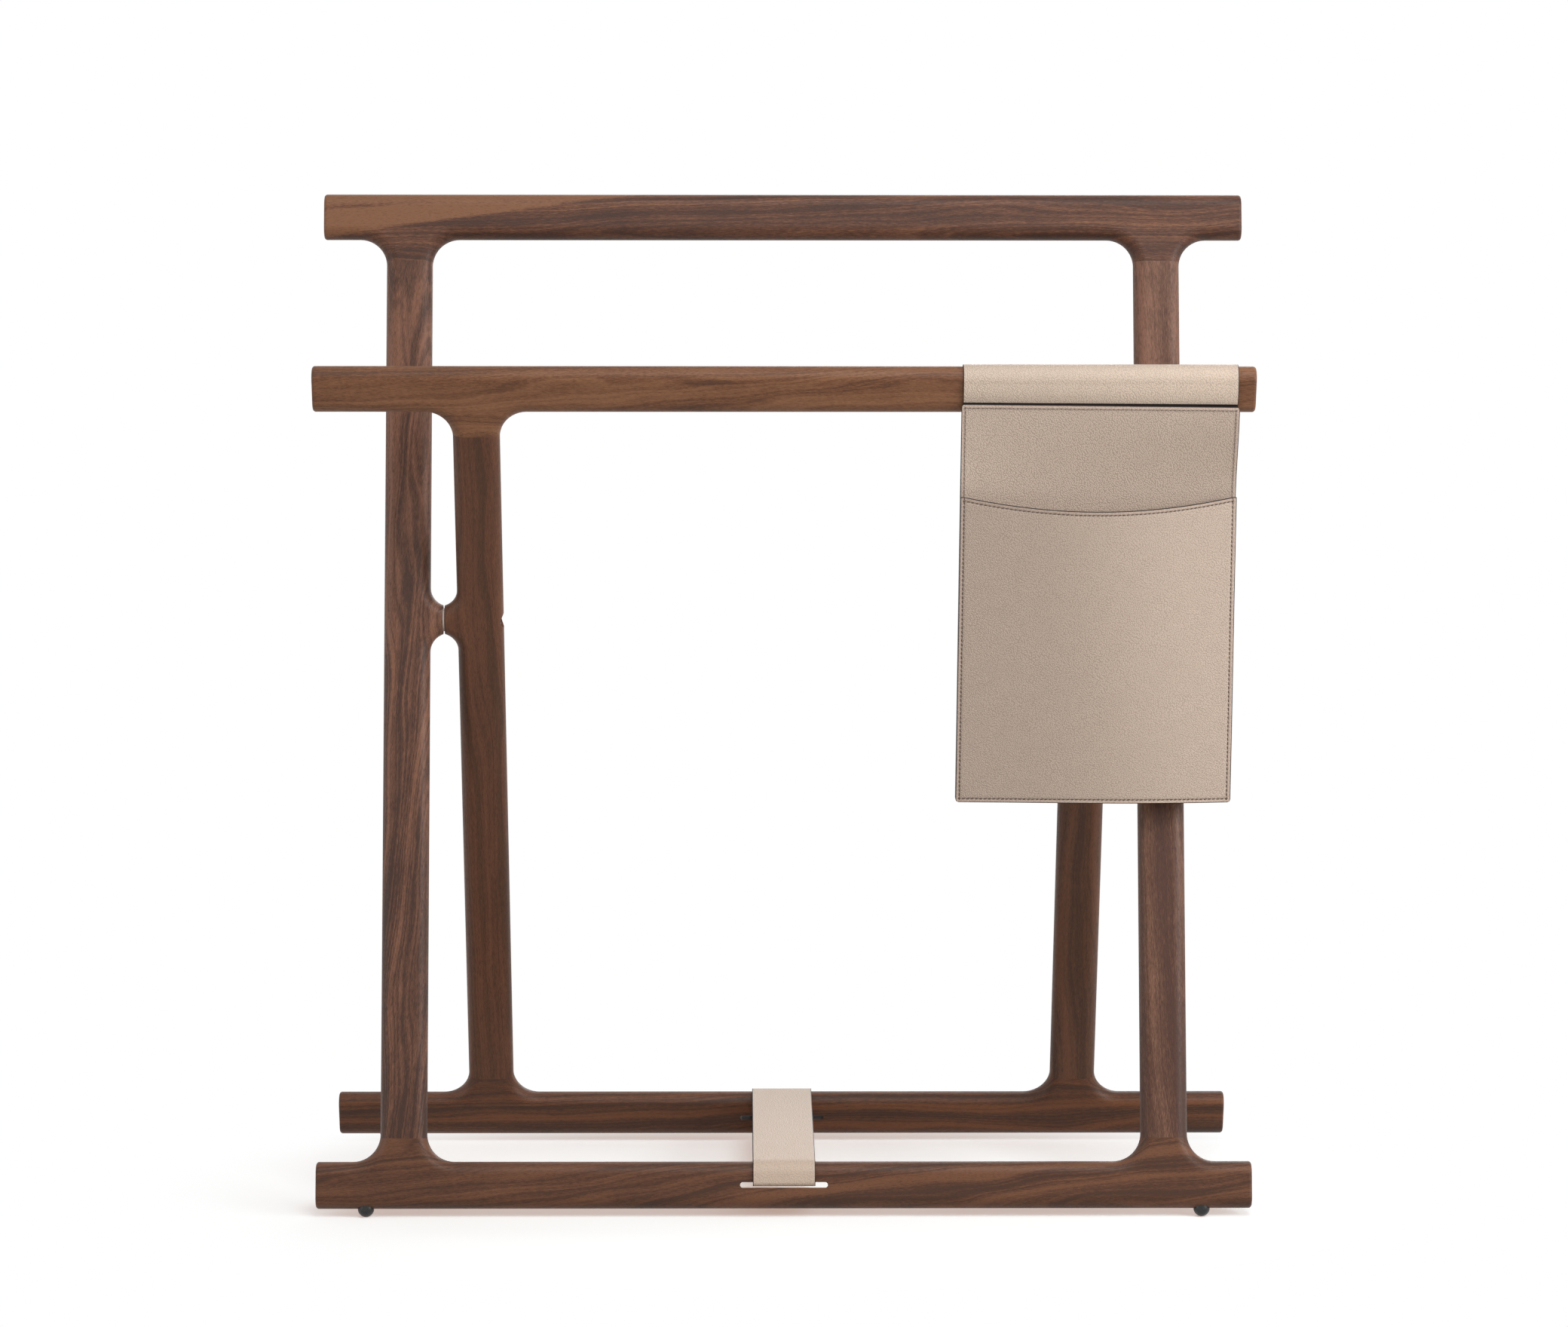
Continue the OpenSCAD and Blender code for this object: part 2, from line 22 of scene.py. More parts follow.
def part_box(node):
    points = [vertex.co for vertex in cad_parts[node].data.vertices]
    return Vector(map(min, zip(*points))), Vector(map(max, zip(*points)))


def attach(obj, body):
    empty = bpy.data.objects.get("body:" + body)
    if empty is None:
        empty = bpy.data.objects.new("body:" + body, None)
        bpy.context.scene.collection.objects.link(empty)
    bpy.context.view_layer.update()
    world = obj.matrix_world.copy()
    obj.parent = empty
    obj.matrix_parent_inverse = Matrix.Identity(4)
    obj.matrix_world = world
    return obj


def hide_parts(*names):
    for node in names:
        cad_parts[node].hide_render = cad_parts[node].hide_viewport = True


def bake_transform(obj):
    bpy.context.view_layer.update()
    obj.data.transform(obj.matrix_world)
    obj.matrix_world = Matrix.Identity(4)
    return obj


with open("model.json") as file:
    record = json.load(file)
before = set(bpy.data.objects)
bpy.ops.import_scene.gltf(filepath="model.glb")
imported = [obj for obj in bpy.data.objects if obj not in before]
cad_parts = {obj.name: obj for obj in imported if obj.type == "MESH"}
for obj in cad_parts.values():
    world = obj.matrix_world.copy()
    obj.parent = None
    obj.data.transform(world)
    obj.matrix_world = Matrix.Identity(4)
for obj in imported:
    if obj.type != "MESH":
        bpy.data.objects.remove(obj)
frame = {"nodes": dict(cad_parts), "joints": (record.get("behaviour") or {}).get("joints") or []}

log = logging.getLogger("rack")

MM = 0.001
UP, FORWARD, BACKWARD = Vector((0, 0, 1)), Vector((0, -1, 0)), Vector((0, 1, 0))
HIDE_MAP = "hide"
MARGIN = "margin"
WHITE = "#ffffff"
MID_GREY = (0.5, 0.5, 0.5)
# How much thinner leather is drawn than the construction's, which leaves air between pieces that touch
AIR = 0.1 * MM

Pair = tuple[float, float]
Trace = list[Pair]
Stitched = list[tuple[Vector, Vector]]
Painted = Callable[[int, int], bool]


# ---- small helpers


def colour(hex_code: str) -> tuple[float, float, float, float]:
    """Turns an sRGB hex colour into the linear one that a shader socket takes.

    Args:
        hex_code: The colour as "#rrggbb".

    Returns:
        Linear red, green, blue and an alpha of 1.
    """
    parts = [int(hex_code[i : i + 2], 16) / 255 for i in (1, 3, 5)]
    red, green, blue = (p / 12.92 if p <= 0.04045 else ((p + 0.055) / 1.055) ** 2.4 for p in parts)
    return red, green, blue, 1.0


def add(tree: bpy.types.NodeTree, kind: str, *values: Any, out: int | str = 0, **named: Any) -> Any:
    """Adds a node with its settings, its values and its links.

    Args:
        tree: The node tree that takes the node.
        kind: The node's type name, where a leading "ShaderNode" may be left out.
        *values: For the sockets in use, in their order: a value, or the output socket that feeds it.
        out: Which of the outputs in use is wanted, by its place or its name.
        **named: The node's settings in small letters, and its sockets with a capital.

    Returns:
        The output socket asked for, or the node itself where it has no outputs.
    """
    made = tree.nodes.new(kind if "Node" in kind else f"ShaderNode{kind}")
    for name, value in named.items():
        if name.islower():
            setattr(made, name, value)
    given = list(zip((socket for socket in made.inputs if socket.enabled), values))
    given += [(made.inputs[name], value) for name, value in named.items() if not name.islower()]
    for socket, value in given:
        if isinstance(value, bpy.types.NodeSocket):
            tree.links.new(value, socket)
        else:
            socket.default_value = value
    if isinstance(out, str):
        return made.outputs[out]
    outputs = [socket for socket in made.outputs if socket.enabled]
    return outputs[out] if outputs else made


def fresh(owner: bpy.types.Material | bpy.types.World) -> Callable[..., Any]:
    """Empties the node tree of a material or a world.

    Args:
        owner: Whose tree it is.

    Returns:
        What adds a node to it, as add does.
    """
    owner.use_nodes = True
    owner.node_tree.nodes.clear()
    return partial(add, owner.node_tree)


def ease(t: float) -> float:
    """Returns a smooth step from 0 to 1 as t goes from 0 to 1."""
    t = min(max(t, 0.0), 1.0)
    return t * t * (3 - 2 * t)


def hump(t: float) -> float:
    """Returns a bell curve of t, which is 1 at 0."""
    return math.exp(-(t**2))


def spread(start: float, end: float, steps: int) -> list[float]:
    """Returns even places from start to end, both included."""
    return [start + (end - start) * k / steps for k in range(steps + 1)]


def sweep(start: float, end: float, steps: int) -> list[float]:
    """Returns even angles in radians from start to end, which are in degrees."""
    return [math.radians(angle) for angle in spread(start, end, steps)]


def arc(middle: Pair, radius: float, angles: Iterable[float]) -> Trace:
    """Returns places round a middle, at angles in radians."""
    return [(middle[0] + radius * math.cos(a), middle[1] + radius * math.sin(a)) for a in angles]


def lengths(trace: Trace, start: float = 0.0) -> list[float]:
    """Returns how much leather lies before each place of a trace, after a length at its start."""
    return list(accumulate(map(math.dist, trace, trace[1:]), initial=start))


def stations(length: float, step: float, extra: Iterable[float] = ()) -> list[float]:
    """Spreads places along a length: even steps, and the extra ones mirrored from both ends.

    Args:
        length: The whole length.
        step: The largest even step.
        extra: Distances from each end that get a place of their own.

    Returns:
        Sorted places from 0 to length, each one once.
    """
    near = [e for e in extra if e < length / 2]
    guard = max(near, default=0.0) + step / 3
    even = [p for p in spread(0, length, math.ceil(length / step)) if guard < p < length - guard]
    return sorted({round(p, 6) for p in (0.0, *near, *even, *(length - e for e in near), length)})


def new_object(name: str, data: bpy.types.ID) -> bpy.types.Object:
    """Links a mesh, lamp or camera to the scene as an object at the origin.

    Args:
        name: The object's name.
        data: What it shows.

    Returns:
        The new object.
    """
    made = bpy.data.objects.new(name, data)
    bpy.context.scene.collection.objects.link(made)
    return made


def centre(node: str) -> Vector:
    """Returns the middle of a frame node's box."""
    low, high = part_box(node)
    return (Vector(low) + Vector(high)) / 2


def put_on(node: str, material: bpy.types.Material) -> None:
    """Gives a frame node one material all over.

    Args:
        node: The node's name.
        material: Its finish.
    """
    mesh = frame["nodes"][node].data
    mesh.materials.clear()
    mesh.materials.append(material)
    log.info("%s: %s", node, material.name)


# ---- finishes


class Finish:
    """What every finish shares: a named material that is made once and then used again."""

    name: str

    def sockets(self, node: Callable[..., Any]) -> dict[str, Any]:
        """Adds the finish's patterns.

        Args:
            node: Adds a node to the material's tree.

        Returns:
            What feeds the sockets of its Principled shader.
        """
        raise NotImplementedError

    def material(self) -> bpy.types.Material:
        """Makes the finish's material, or finds it again.

        Returns:
            The finished material.
        """
        made = bpy.data.materials.get(self.name)
        if made is None:
            made = bpy.data.materials.new(self.name)
            node = fresh(made)
            node("OutputMaterial", node("BsdfPrincipled", **self.sockets(node)))
        return made


@dataclass(frozen=True)
class Walnut(Finish):
    """Black walnut, planed, sanded and oiled: satin, with fine open pores along the grain.

    The pattern is a solid one, cut from a log: growth rings round a pith that lies beside the board, waved
    by the tree's growth, with pigment streaks that follow the rings and pores that follow the fibres.
    Lengths are in millimetres and angles in degrees.

    Attributes:
        shades: Its colours, from the darkest streaks to the lightest wood.
        slant: The grain's turn on the face, and dive its dip into it.
        pith: Where the pith lies, across the face and out of it.
        band: The width of a group of rings, and ring the width of one.
        curl: How strongly curl shows, and fade how much painted light brightens the tone along the grain over
            fade_length.
        pale_edge: Where the pale wood starts across the face, and the slope of that line.
        dark_patch: The place and half the size of a dark oval, along and across.
        wave: The length and width of the rings' waves, and wander is how far they stray.
        cloud: The length and width of a soft cloud; bar, fibre and pore are those of a bar of curl, a
            fibre and a pore.
    """

    name: str
    origin: Vector
    along: Vector
    face: Vector
    shades: tuple[str, str, str, str]
    seed: float
    slant: float
    dive: float
    pith: tuple[float, float]
    band: float = 9.0
    ring: float = 1.5
    contrast: float = 1.0
    curl: float = 0.0
    fade: float = 0.0
    fade_length: float = 300.0
    pale_edge: tuple[float, float] | None = None
    dark_patch: tuple[float, float, float, float] | None = None
    wave: Pair = (170.0, 34.0)
    wander: float = 26.0
    cloud: Pair = (75.0, 13.0)
    bar: Pair = (11.0, 8.0)
    fibre: Pair = (4.5, 0.42)
    pore: Pair = (2.6, 0.3)
    pore_depth: float = 0.12

    def rotation(self) -> Euler:
        """Returns the turn from the world's axes to the log's.

        Returns:
            A turn that takes x along the grain, y across it and z out of the face.
        """
        board = Matrix((self.along, self.face.cross(self.along), self.face)).transposed()
        tilt = Euler((0, math.radians(self.dive), math.radians(self.slant))).to_matrix()
        return (board @ tilt).to_euler()

    def sockets(self, node: Callable[..., Any]) -> dict[str, Any]:
        """Adds the wood's rings, streaks, fibres and pores.

        Args:
            node: Adds a node to the material's tree.

        Returns:
            What feeds the sockets of its Principled shader.
        """
        # Board coordinates in millimetres: x along the grain, y across the face, z out of it
        board = node("Mapping", node("TexCoord", out="Object"), self.origin, self.rotation(), (MM, MM, MM),
                     vector_type="TEXTURE")
        shifted = node("VectorMath", board, (self.seed * 97.0, 0, self.seed * 31.0), operation="ADD")

        def flecks(size: Pair, *look: float, **more: Any) -> Any:
            """Adds flecks that lie along the grain.

            Args:
                size: The length and width of one.
                *look: Their detail and their roughness.
                **more: Whatever else sets them apart.

            Returns:
                Where the flecks lie.
            """
            length, width = size
            place = node("VectorMath", shifted, (1 / length, 1 / width, 1 / width), operation="MULTIPLY")
            return node("TexNoise", place, 1.0, *look, **more)

        # The tree's growth waves the rings over a hand's breadth along the grain
        wander = flecks(self.wave, 2.0, 0.45, out="Color")
        wander = node("VectorMath", wander, MID_GREY, operation="SUBTRACT")
        wander = node("VectorMath", wander, (0, self.wander, self.wander), operation="MULTIPLY")
        grown = node("VectorMath", board, wander, operation="ADD")
        rings = node("VectorMath", grown, (0, *self.pith), operation="SUBTRACT")
        rings = node("VectorMath", rings, (0, 1, 1), operation="MULTIPLY")
        rings = node("VectorMath", rings, operation="LENGTH")

        # Pigment streaks follow groups of rings, and finer lines follow single rings
        wide = node("Math", rings, 1 / self.band, operation="MULTIPLY")
        wide = node("Math", wide, self.seed, operation="ADD")
        streaks = node("TexNoise", wide, 1.0, 2.5, 0.55, noise_dimensions="1D")
        narrow = node("Math", rings, 1 / self.ring, operation="MULTIPLY")
        lines = node("TexNoise", narrow, 1.0, 1.5, 0.6, noise_dimensions="1D")
        fibres = flecks(self.fibre, 2.0, 0.7)
        figure = self.contrast
        marks = [(streaks, figure), (lines, 0.5 * figure), (flecks(self.cloud, 3.0, 0.6), 0.6 * figure),
                 (fibres, 1.05)]
        if self.curl:
            # Curl catches the light in short bars across the grain
            marks.append((flecks(self.bar, 2.0, 0.5, Distortion=0.8), self.curl))

        # Painted light: the tone grows lighter along the grain, so a leg is lighter at its top; not a trait of
        # walnut
        tone = node("SeparateXYZ", board, out="X")
        tone = node("Math", tone, self.fade / self.fade_length, 0.5, operation="MULTIPLY_ADD")
        for pattern, weight in marks:
            part = node("Math", pattern, 0.5, operation="SUBTRACT")
            tone = node("Math", part, weight, tone, operation="MULTIPLY_ADD")
        ramp = node("ValToRGB", self.marked(node, board, grown, tone))
        elements = ramp.node.color_ramp.elements
        places = (0.20, 0.38, 0.52, 0.78)
        while len(elements) < len(places):
            elements.new(0.5)
        for element, place, shade in zip(elements, places, self.shades):
            element.position = place
            element.color = colour(shade)

        # Open pores are 0.2 mm wide and 2 to 5 mm long; drawn half as wide again, so that they still show
        pores = node("MapRange", flecks(self.pore, 1.0, 0.5), 0.52, 0.68, 0.0, 1.0)
        dark = node("Math", pores, 0.32, operation="MULTIPLY")
        relief = node("Math", pores, -1.0, fibres, operation="MULTIPLY_ADD")
        return {
            "Base Color": node("Mix", dark, ramp, colour("#22140f"), data_type="RGBA"),
            "Roughness": node("Math", pores, 0.16, 0.46, operation="MULTIPLY_ADD"),
            "Normal": node("Bump", Height=relief, Strength=0.22, Distance=self.pore_depth * MM),
            "Specular IOR Level": 0.35,
        }

    def marked(self, node: Callable[..., Any], board: Any, grown: Any, tone: Any) -> Any:
        """Adds what only some boards have: a pale edge, and one long dark oval.

        Args:
            node: Adds a node to the material's tree.
            board: Board coordinates.
            grown: Board coordinates, waved by growth.
            tone: The tone so far.

        Returns:
            The new tone.
        """
        if self.pale_edge:
            # The wood is lighter past a line that climbs across the face
            height, slope = self.pale_edge
            across = node("SeparateXYZ", board, out="Y")
            line = node("Math", across.node.outputs["X"], slope, height, operation="MULTIPLY_ADD")
            past = node("Math", across, line, operation="SUBTRACT")
            tone = node("Math", tone, node("MapRange", past, -0.8, 1.6, -0.1, 0.36), operation="ADD")
        if self.dark_patch:
            # The wood is darker in an oval, as where a small branch ran close under the face
            along, across, length, width = self.dark_patch
            away = node("VectorMath", grown, (along, across, 0), operation="SUBTRACT")
            away = node("VectorMath", away, (1 / length, 1 / width, 0), operation="MULTIPLY")
            away = node("VectorMath", away, operation="LENGTH")
            share = node("MapRange", away, 0.2, 1.0, -0.26, 0.0, interpolation_type="SMOOTHSTEP")
            tone = node("Math", tone, share, operation="ADD")
        return tone


@dataclass(frozen=True)
class Leather(Finish):
    """Embossed calf leather, dyed taupe: short crossing ridges about a millimetre apart, with a low sheen.

    It follows the hide map, a flat map of each piece in metres, so the grain bends with the leather. The
    lengths below are in millimetres.

    Attributes:
        grain: The width of an embossed cell, and stretch is its length over its width.
        depth: How dark the valleys are, relief how strongly the light shows them, and emboss their depth.
        turn: The embossing plate's turn on the hide, in degrees.
        painted_side_light: The painted light at the left and at the right, as a brightness, which changes over
            painted_side_light_span across the piece.
        sway: How far the rows of ridges sway, over sway_length.
        hair: The size of the finest unevenness, and mottle that of the soft patches of tone.
    """

    name: str
    crown: str = "#c6b2a2"
    valley: str = "#a08d7e"
    # The crease colour is pressed leather and painted shade in the stitch groove
    crease: str = "#4a3a31"
    grain: float = 0.95
    stretch: float = 1.22
    depth: float = 0.6
    relief: float = 0.8
    emboss: float = 0.16
    turn: float = -48.0
    margin_crown: str = "#cbb4a5"
    painted_side_light: tuple[float, float] = (1.0, 1.0)
    painted_side_light_span: tuple[float, float] = (-45.0, 60.0)
    sway: float = 7.0
    sway_length: float = 26.0
    hair: float = 0.4
    mottle: float = 8.0

    def sockets(self, node: Callable[..., Any]) -> dict[str, Any]:
        """Adds the leather's embossed grain.

        Args:
            node: Adds a node to the material's tree.

        Returns:
            What feeds the sockets of its Principled shader.
        """
        flat = node("UVMap", uv_map=HIDE_MAP)
        flat = node("VectorMath", flat, (1 / MM, 1 / MM, 0), operation="MULTIPLY")

        # The embossing plate's rows of ridges sway gently over the hide
        sway = node("TexNoise", flat, 1 / self.sway_length, 1.0, out="Color")
        sway = node("VectorMath", sway, MID_GREY, operation="SUBTRACT")
        sway = node("VectorMath", sway, (self.sway, self.sway, 0), operation="MULTIPLY")
        swayed = node("VectorMath", flat, sway, operation="ADD")
        turned = node("Mapping", swayed, Rotation=(0, 0, math.radians(self.turn)),
                      Scale=(self.grain * self.stretch, self.grain, 1.0), vector_type="TEXTURE")
        cells = node("TexVoronoi", turned, Scale=1.0, Smoothness=0.4, Randomness=0.85, out="Distance",
                     voronoi_dimensions="2D", feature="SMOOTH_F1")
        ridges = node("MapRange", cells, 0.06, 0.66, 1.0, 0.0, interpolation_type="SMOOTHSTEP")
        hair = node("TexNoise", flat, 1 / self.hair, 2.0)
        relief = node("Math", hair, 0.25, ridges, operation="MULTIPLY_ADD")
        mottle = node("TexNoise", flat, 1 / self.mottle, 3.0)
        tone = node("Math", mottle, 0.5, relief, operation="MULTIPLY_ADD")
        tone = node("MapRange", tone, 0.15, 1.15, 1.0 - self.depth, 1.0)

        # Outside a stitch line the margin is pressed flatter, and the line itself lies in a dark crease:
        # leather darkened by pressing, and painted shade in the groove
        edge = node("SeparateXYZ", node("Attribute", attribute_name=MARGIN, out="Vector"))
        crown = node("Mix", edge, colour(self.crown), colour(self.margin_crown), data_type="RGBA")
        shade = node("Mix", tone, colour(self.valley), crown, data_type="RGBA")
        dark = node("Math", edge.node.outputs["Y"], 0.6, operation="MULTIPLY")
        flatter = node("Math", edge, -0.45, 1.0, operation="MULTIPLY_ADD")
        relief = node("Math", relief, flatter, operation="MULTIPLY")
        # Painted light: the tone grows brighter from left to right, as from a light at the right; not a trait
        # of the hide
        across = node("SeparateXYZ", flat)
        across = node("MapRange", across, *self.painted_side_light_span, *self.painted_side_light, interpolation_type="SMOOTHSTEP")
        shade = node("VectorMath", shade, across, operation="SCALE")
        return {
            "Base Color": node("Mix", dark, shade, colour(self.crease), data_type="RGBA"),
            "Roughness": node("Math", ridges, -0.12, 0.56, operation="MULTIPLY_ADD"),
            "Normal": node("Bump", Height=relief, Strength=self.relief, Distance=self.emboss * MM),
            "Sheen Weight": 0.05,
            "Sheen Roughness": 0.4,
        }


@dataclass(frozen=True)
class Plain(Finish):
    """A finish of nearly one colour, with a fine unevenness that breaks its gloss.

    Attributes:
        pattern: The size of the unevenness in millimetres, and stretch squeezes it along each axis.
        relief: Its depth in millimetres.
    """

    name: str
    shade: str
    second: str
    metallic: float = 0.0
    rough: tuple[float, float] = (0.35, 0.5)
    pattern: float = 1.0
    stretch: tuple[float, float, float] = (1.0, 1.0, 1.0)
    relief: float = 0.02

    def sockets(self, node: Callable[..., Any]) -> dict[str, Any]:
        """Adds the finish's fine unevenness.

        Args:
            node: Adds a node to the material's tree.

        Returns:
            What feeds the sockets of its Principled shader.
        """
        scale = tuple(s / (self.pattern * MM) for s in self.stretch)
        place = node("VectorMath", node("TexCoord", out="Object"), scale, operation="MULTIPLY")
        uneven = node("TexNoise", place, 1.0, 3.0)
        return {
            "Base Color": node("Mix", uneven, colour(self.shade), colour(self.second), data_type="RGBA"),
            "Metallic": self.metallic,
            "Roughness": node("MapRange", uneven, 0.3, 0.7, *self.rough),
            "Normal": node("Bump", Height=uneven, Strength=0.3, Distance=self.relief * MM),
        }


# Painted leather edge: a few coats of dark brown-black polish, rubbed smooth
EDGE_PAINT = Plain("edge paint", "#17110f", "#231a17", rough=(0.48, 0.62), pattern=1.5)
# Waxed linen thread, laid in two dark strands
THREAD = Plain("waxed linen thread", "#3e2e26", "#5a483c", rough=(0.5, 0.7), pattern=0.4)
# Moulded rubber of the glides, polished by the floor
GLIDE_RUBBER = Plain("moulded black rubber", "#0c0c0d", "#161617", rough=(0.22, 0.34), pattern=1.2)
# Turned and brushed stainless steel: fine rings, bright but not mirror-like
STEEL = Plain("brushed stainless steel", "#b4b6b9", "#cccdd0", metallic=1.0, rough=(0.24, 0.36),
              pattern=0.3, stretch=(0.2, 1.0, 1.0), relief=0.005)
# Free-cutting brass, left as turned: yellow, with fine rings
BRASS = Plain("turned brass", "#b08d4f", "#c9a766", metallic=1.0, rough=(0.28, 0.4), pattern=0.3,
              stretch=(0.2, 1.0, 1.0), relief=0.005)
# Natural nylon, milky and slightly waxy
NYLON = Plain("natural nylon", "#efede8", "#e2dfd8", rough=(0.4, 0.5), pattern=2.0)
# Pressed beech, pale pink-brown with short flecks
BEECH = Plain("pressed beech", "#c39b72", "#a67f59", rough=(0.55, 0.7), pattern=0.8,
              stretch=(1.0, 1.0, 0.2))


# ---- the two wooden frames


@dataclass
class CrossFrame:
    """One of the two frames that cross at the pivots, with a flat plane of its own.

    A place in it is x along the rails, u up the frame from the pivot, and n square to it towards the back.

    Attributes:
        lean: How far it leans back, in radians.
        core: How far the middles of a rail's two round edges lie from the rail's own middle.
        edge: The radius of those edges.
    """

    body: str
    lower_rail: str
    upper_rail: str
    lean: float
    core: float = 7 * MM
    edge: float = 8 * MM
    pivot: Vector = field(init=False)
    lower_u: float = field(init=False)
    upper_u: float = field(init=False)

    def __post_init__(self) -> None:
        """Reads where the rails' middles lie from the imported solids, whose round edges touch their boxes."""
        fold = next(j for j in frame["joints"] if j["name"] == "fold")
        self.pivot = Vector(fold["pos_m"])
        bottom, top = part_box(self.lower_rail)[0][2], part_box(self.upper_rail)[1][2]
        self.lower_u = (bottom + self.edge - self.pivot.z) / math.cos(self.lean) + self.core
        self.upper_u = (top - self.edge - self.pivot.z) / math.cos(self.lean) - self.core

    def up(self) -> Vector:
        """Returns the direction up the frame."""
        return Vector((0, math.sin(self.lean), math.cos(self.lean)))

    def back(self) -> Vector:
        """Returns the direction out of the frame's back face."""
        return Vector((0, math.cos(self.lean), -math.sin(self.lean)))

    def point(self, x: float, u: float, n: float) -> Vector:
        """Turns a place in the frame into one in the world."""
        return Vector((x, self.pivot.y, self.pivot.z)) + u * self.up() + n * self.back()

    def dress(self, node: str, **board: Any) -> None:
        """Gives a rail or a leg its own cut of walnut, with the grain along it.

        Args:
            node: The wooden node.
            **board: What sets this board apart, as Walnut takes it.
        """
        if node.endswith("rail"):
            height = self.upper_u if node == self.upper_rail else self.lower_u
            grain, origin = Vector((1, 0, 0)), self.point(0, height, 0)
        else:
            grain, origin = self.up(), self.point(centre(node).x, 0, 0)
        wood = Walnut(f"oiled walnut, {node.replace('_', ' ')}", origin, grain, -self.back(), **board)
        put_on(node, wood.material())


@dataclass
class WoodenFrames:
    """The eight walnut pieces, each from its own board, and the fittings that the frames hold."""

    outer: CrossFrame = field(default_factory=lambda: CrossFrame(
        "outer_frame", "lower_front_rail", "upper_rear_rail", math.radians(15)))
    inner: CrossFrame = field(default_factory=lambda: CrossFrame(
        "inner_frame", "lower_rear_rail", "upper_front_rail", math.radians(-15)))

    def build(self) -> None:
        """Dresses the wood, the tenons, the pivots and the glides."""
        self.outer_boards()
        self.inner_boards()
        self.fittings()

    def outer_boards(self) -> None:
        """Dresses the frame that leans back: a two-toned upper rail and striped legs."""
        dress = self.outer.dress
        dress("upper_rear_rail", shades=("#40261b", "#543322", "#67412f", "#875c40"), seed=1.7, slant=1.2,
              dive=1.5, pith=(48, -30), pale_edge=(27.5, 0.118))
        dress("lower_front_rail", shades=("#442818", "#51301d", "#603c27", "#734a32"), seed=5.3, slant=3.5,
              dive=4.0, pith=(40, -26), band=7.0, contrast=1.3)
        # The outer legs carry painted light: their tone grows lighter towards their tops
        dress("outer_left_leg", shades=("#41281e", "#593a2b", "#6c4837", "#8a5f4a"), seed=3.1, slant=-6.0,
              dive=2.0, pith=(34, -30), contrast=1.5, curl=0.14, fade=0.16)
        dress("outer_right_leg", shades=("#4a2f24", "#59392c", "#694937", "#8c6351"), seed=8.9, slant=1.8,
              dive=2.6, pith=(52, -30), band=11.0, contrast=0.6, curl=0.24, fade=0.15)

    def inner_boards(self) -> None:
        """Dresses the frame that leans forward: a warm light rail over quiet dark legs."""
        dress = self.inner.dress
        dress("upper_front_rail", shades=("#583925", "#6f462e", "#7e5438", "#8f6345"), seed=2.2, slant=-0.8,
              dive=3.2, pith=(26, -44), band=12.0, contrast=1.05, dark_patch=(-52, 6, 34, 5))
        dress("lower_rear_rail", shades=("#412515", "#50301e", "#5f3923", "#74472c"), seed=6.4, slant=0.6,
              dive=1.5, pith=(44, -24), band=7.0, contrast=1.15)
        dress("inner_left_leg", shades=("#4a2c19", "#54331e", "#633c27", "#72482f"), seed=4.6, slant=1.2,
              dive=2.0, pith=(50, -34), contrast=0.95)
        dress("inner_right_leg", shades=("#442a1b", "#503220", "#5d3b28", "#6e462f"), seed=7.5, slant=-1.0,
              dive=2.0, pith=(44, -30), band=8.0, contrast=0.85)

    def fittings(self) -> None:
        """Dresses what the wood holds, by the kind of piece that its name ends in."""
        finishes = {"tenon": BEECH, "pivot_bolt": STEEL, "pivot_insert": BRASS, "pivot_washer": NYLON,
                    "glide": GLIDE_RUBBER, "pivot_sleeve": BRASS, "press_stud": STEEL}
        for node in sorted(frame["nodes"]):
            for ending, finish in finishes.items():
                if node.endswith(ending):
                    put_on(node, finish.material())


# ---- leather work


@dataclass
class Patch:
    """A grid of places on the middle of a piece of leather.

    Attributes:
        rows: The places, row by row.
        flat: The same places on the flat hide, in metres.
        margin: At each place, from 0 to 1, how far it lies in the margin outside a stitch line, and how
            near it lies to the line's crease.
        painted: Whether a face takes the edge paint: in the strip where it comes round the edge, and on the
            hanger also as painted shade.
        closed: Whether the last row joins the first.
    """

    rows: list[list[Vector]]
    flat: list[Trace]
    margin: list[Trace] = field(default_factory=list)
    painted: Painted = lambda row, column: False
    closed: bool = False

    def lay(self, form: bmesh.types.BMesh) -> None:
        """Adds the patch to a mesh that has the hide map and the margins as layers.

        Args:
            form: The mesh in the making.
        """
        hide = form.loops.layers.uv[HIDE_MAP]
        edge = form.verts.layers.float_vector[MARGIN]
        grid = [[form.verts.new(place) for place in row] for row in self.rows]
        for row, values in zip(grid, self.margin):
            for vert, value in zip(row, values):
                vert[edge] = (*value, 0.0)
        count = len(grid)
        for i in range(count if self.closed else count - 1):
            upper, lower = grid[i], grid[(i + 1) % count]
            above, below = self.flat[i], self.flat[i + 1]
            for j in range(len(upper) - 1):
                face = form.faces.new((upper[j], upper[j + 1], lower[j + 1], lower[j]))
                face.smooth = True
                face.material_index = int(self.painted(i, j))
                for loop, place in zip(face.loops, (above[j], above[j + 1], below[j + 1], below[j])):
                    loop[hide].uv = place


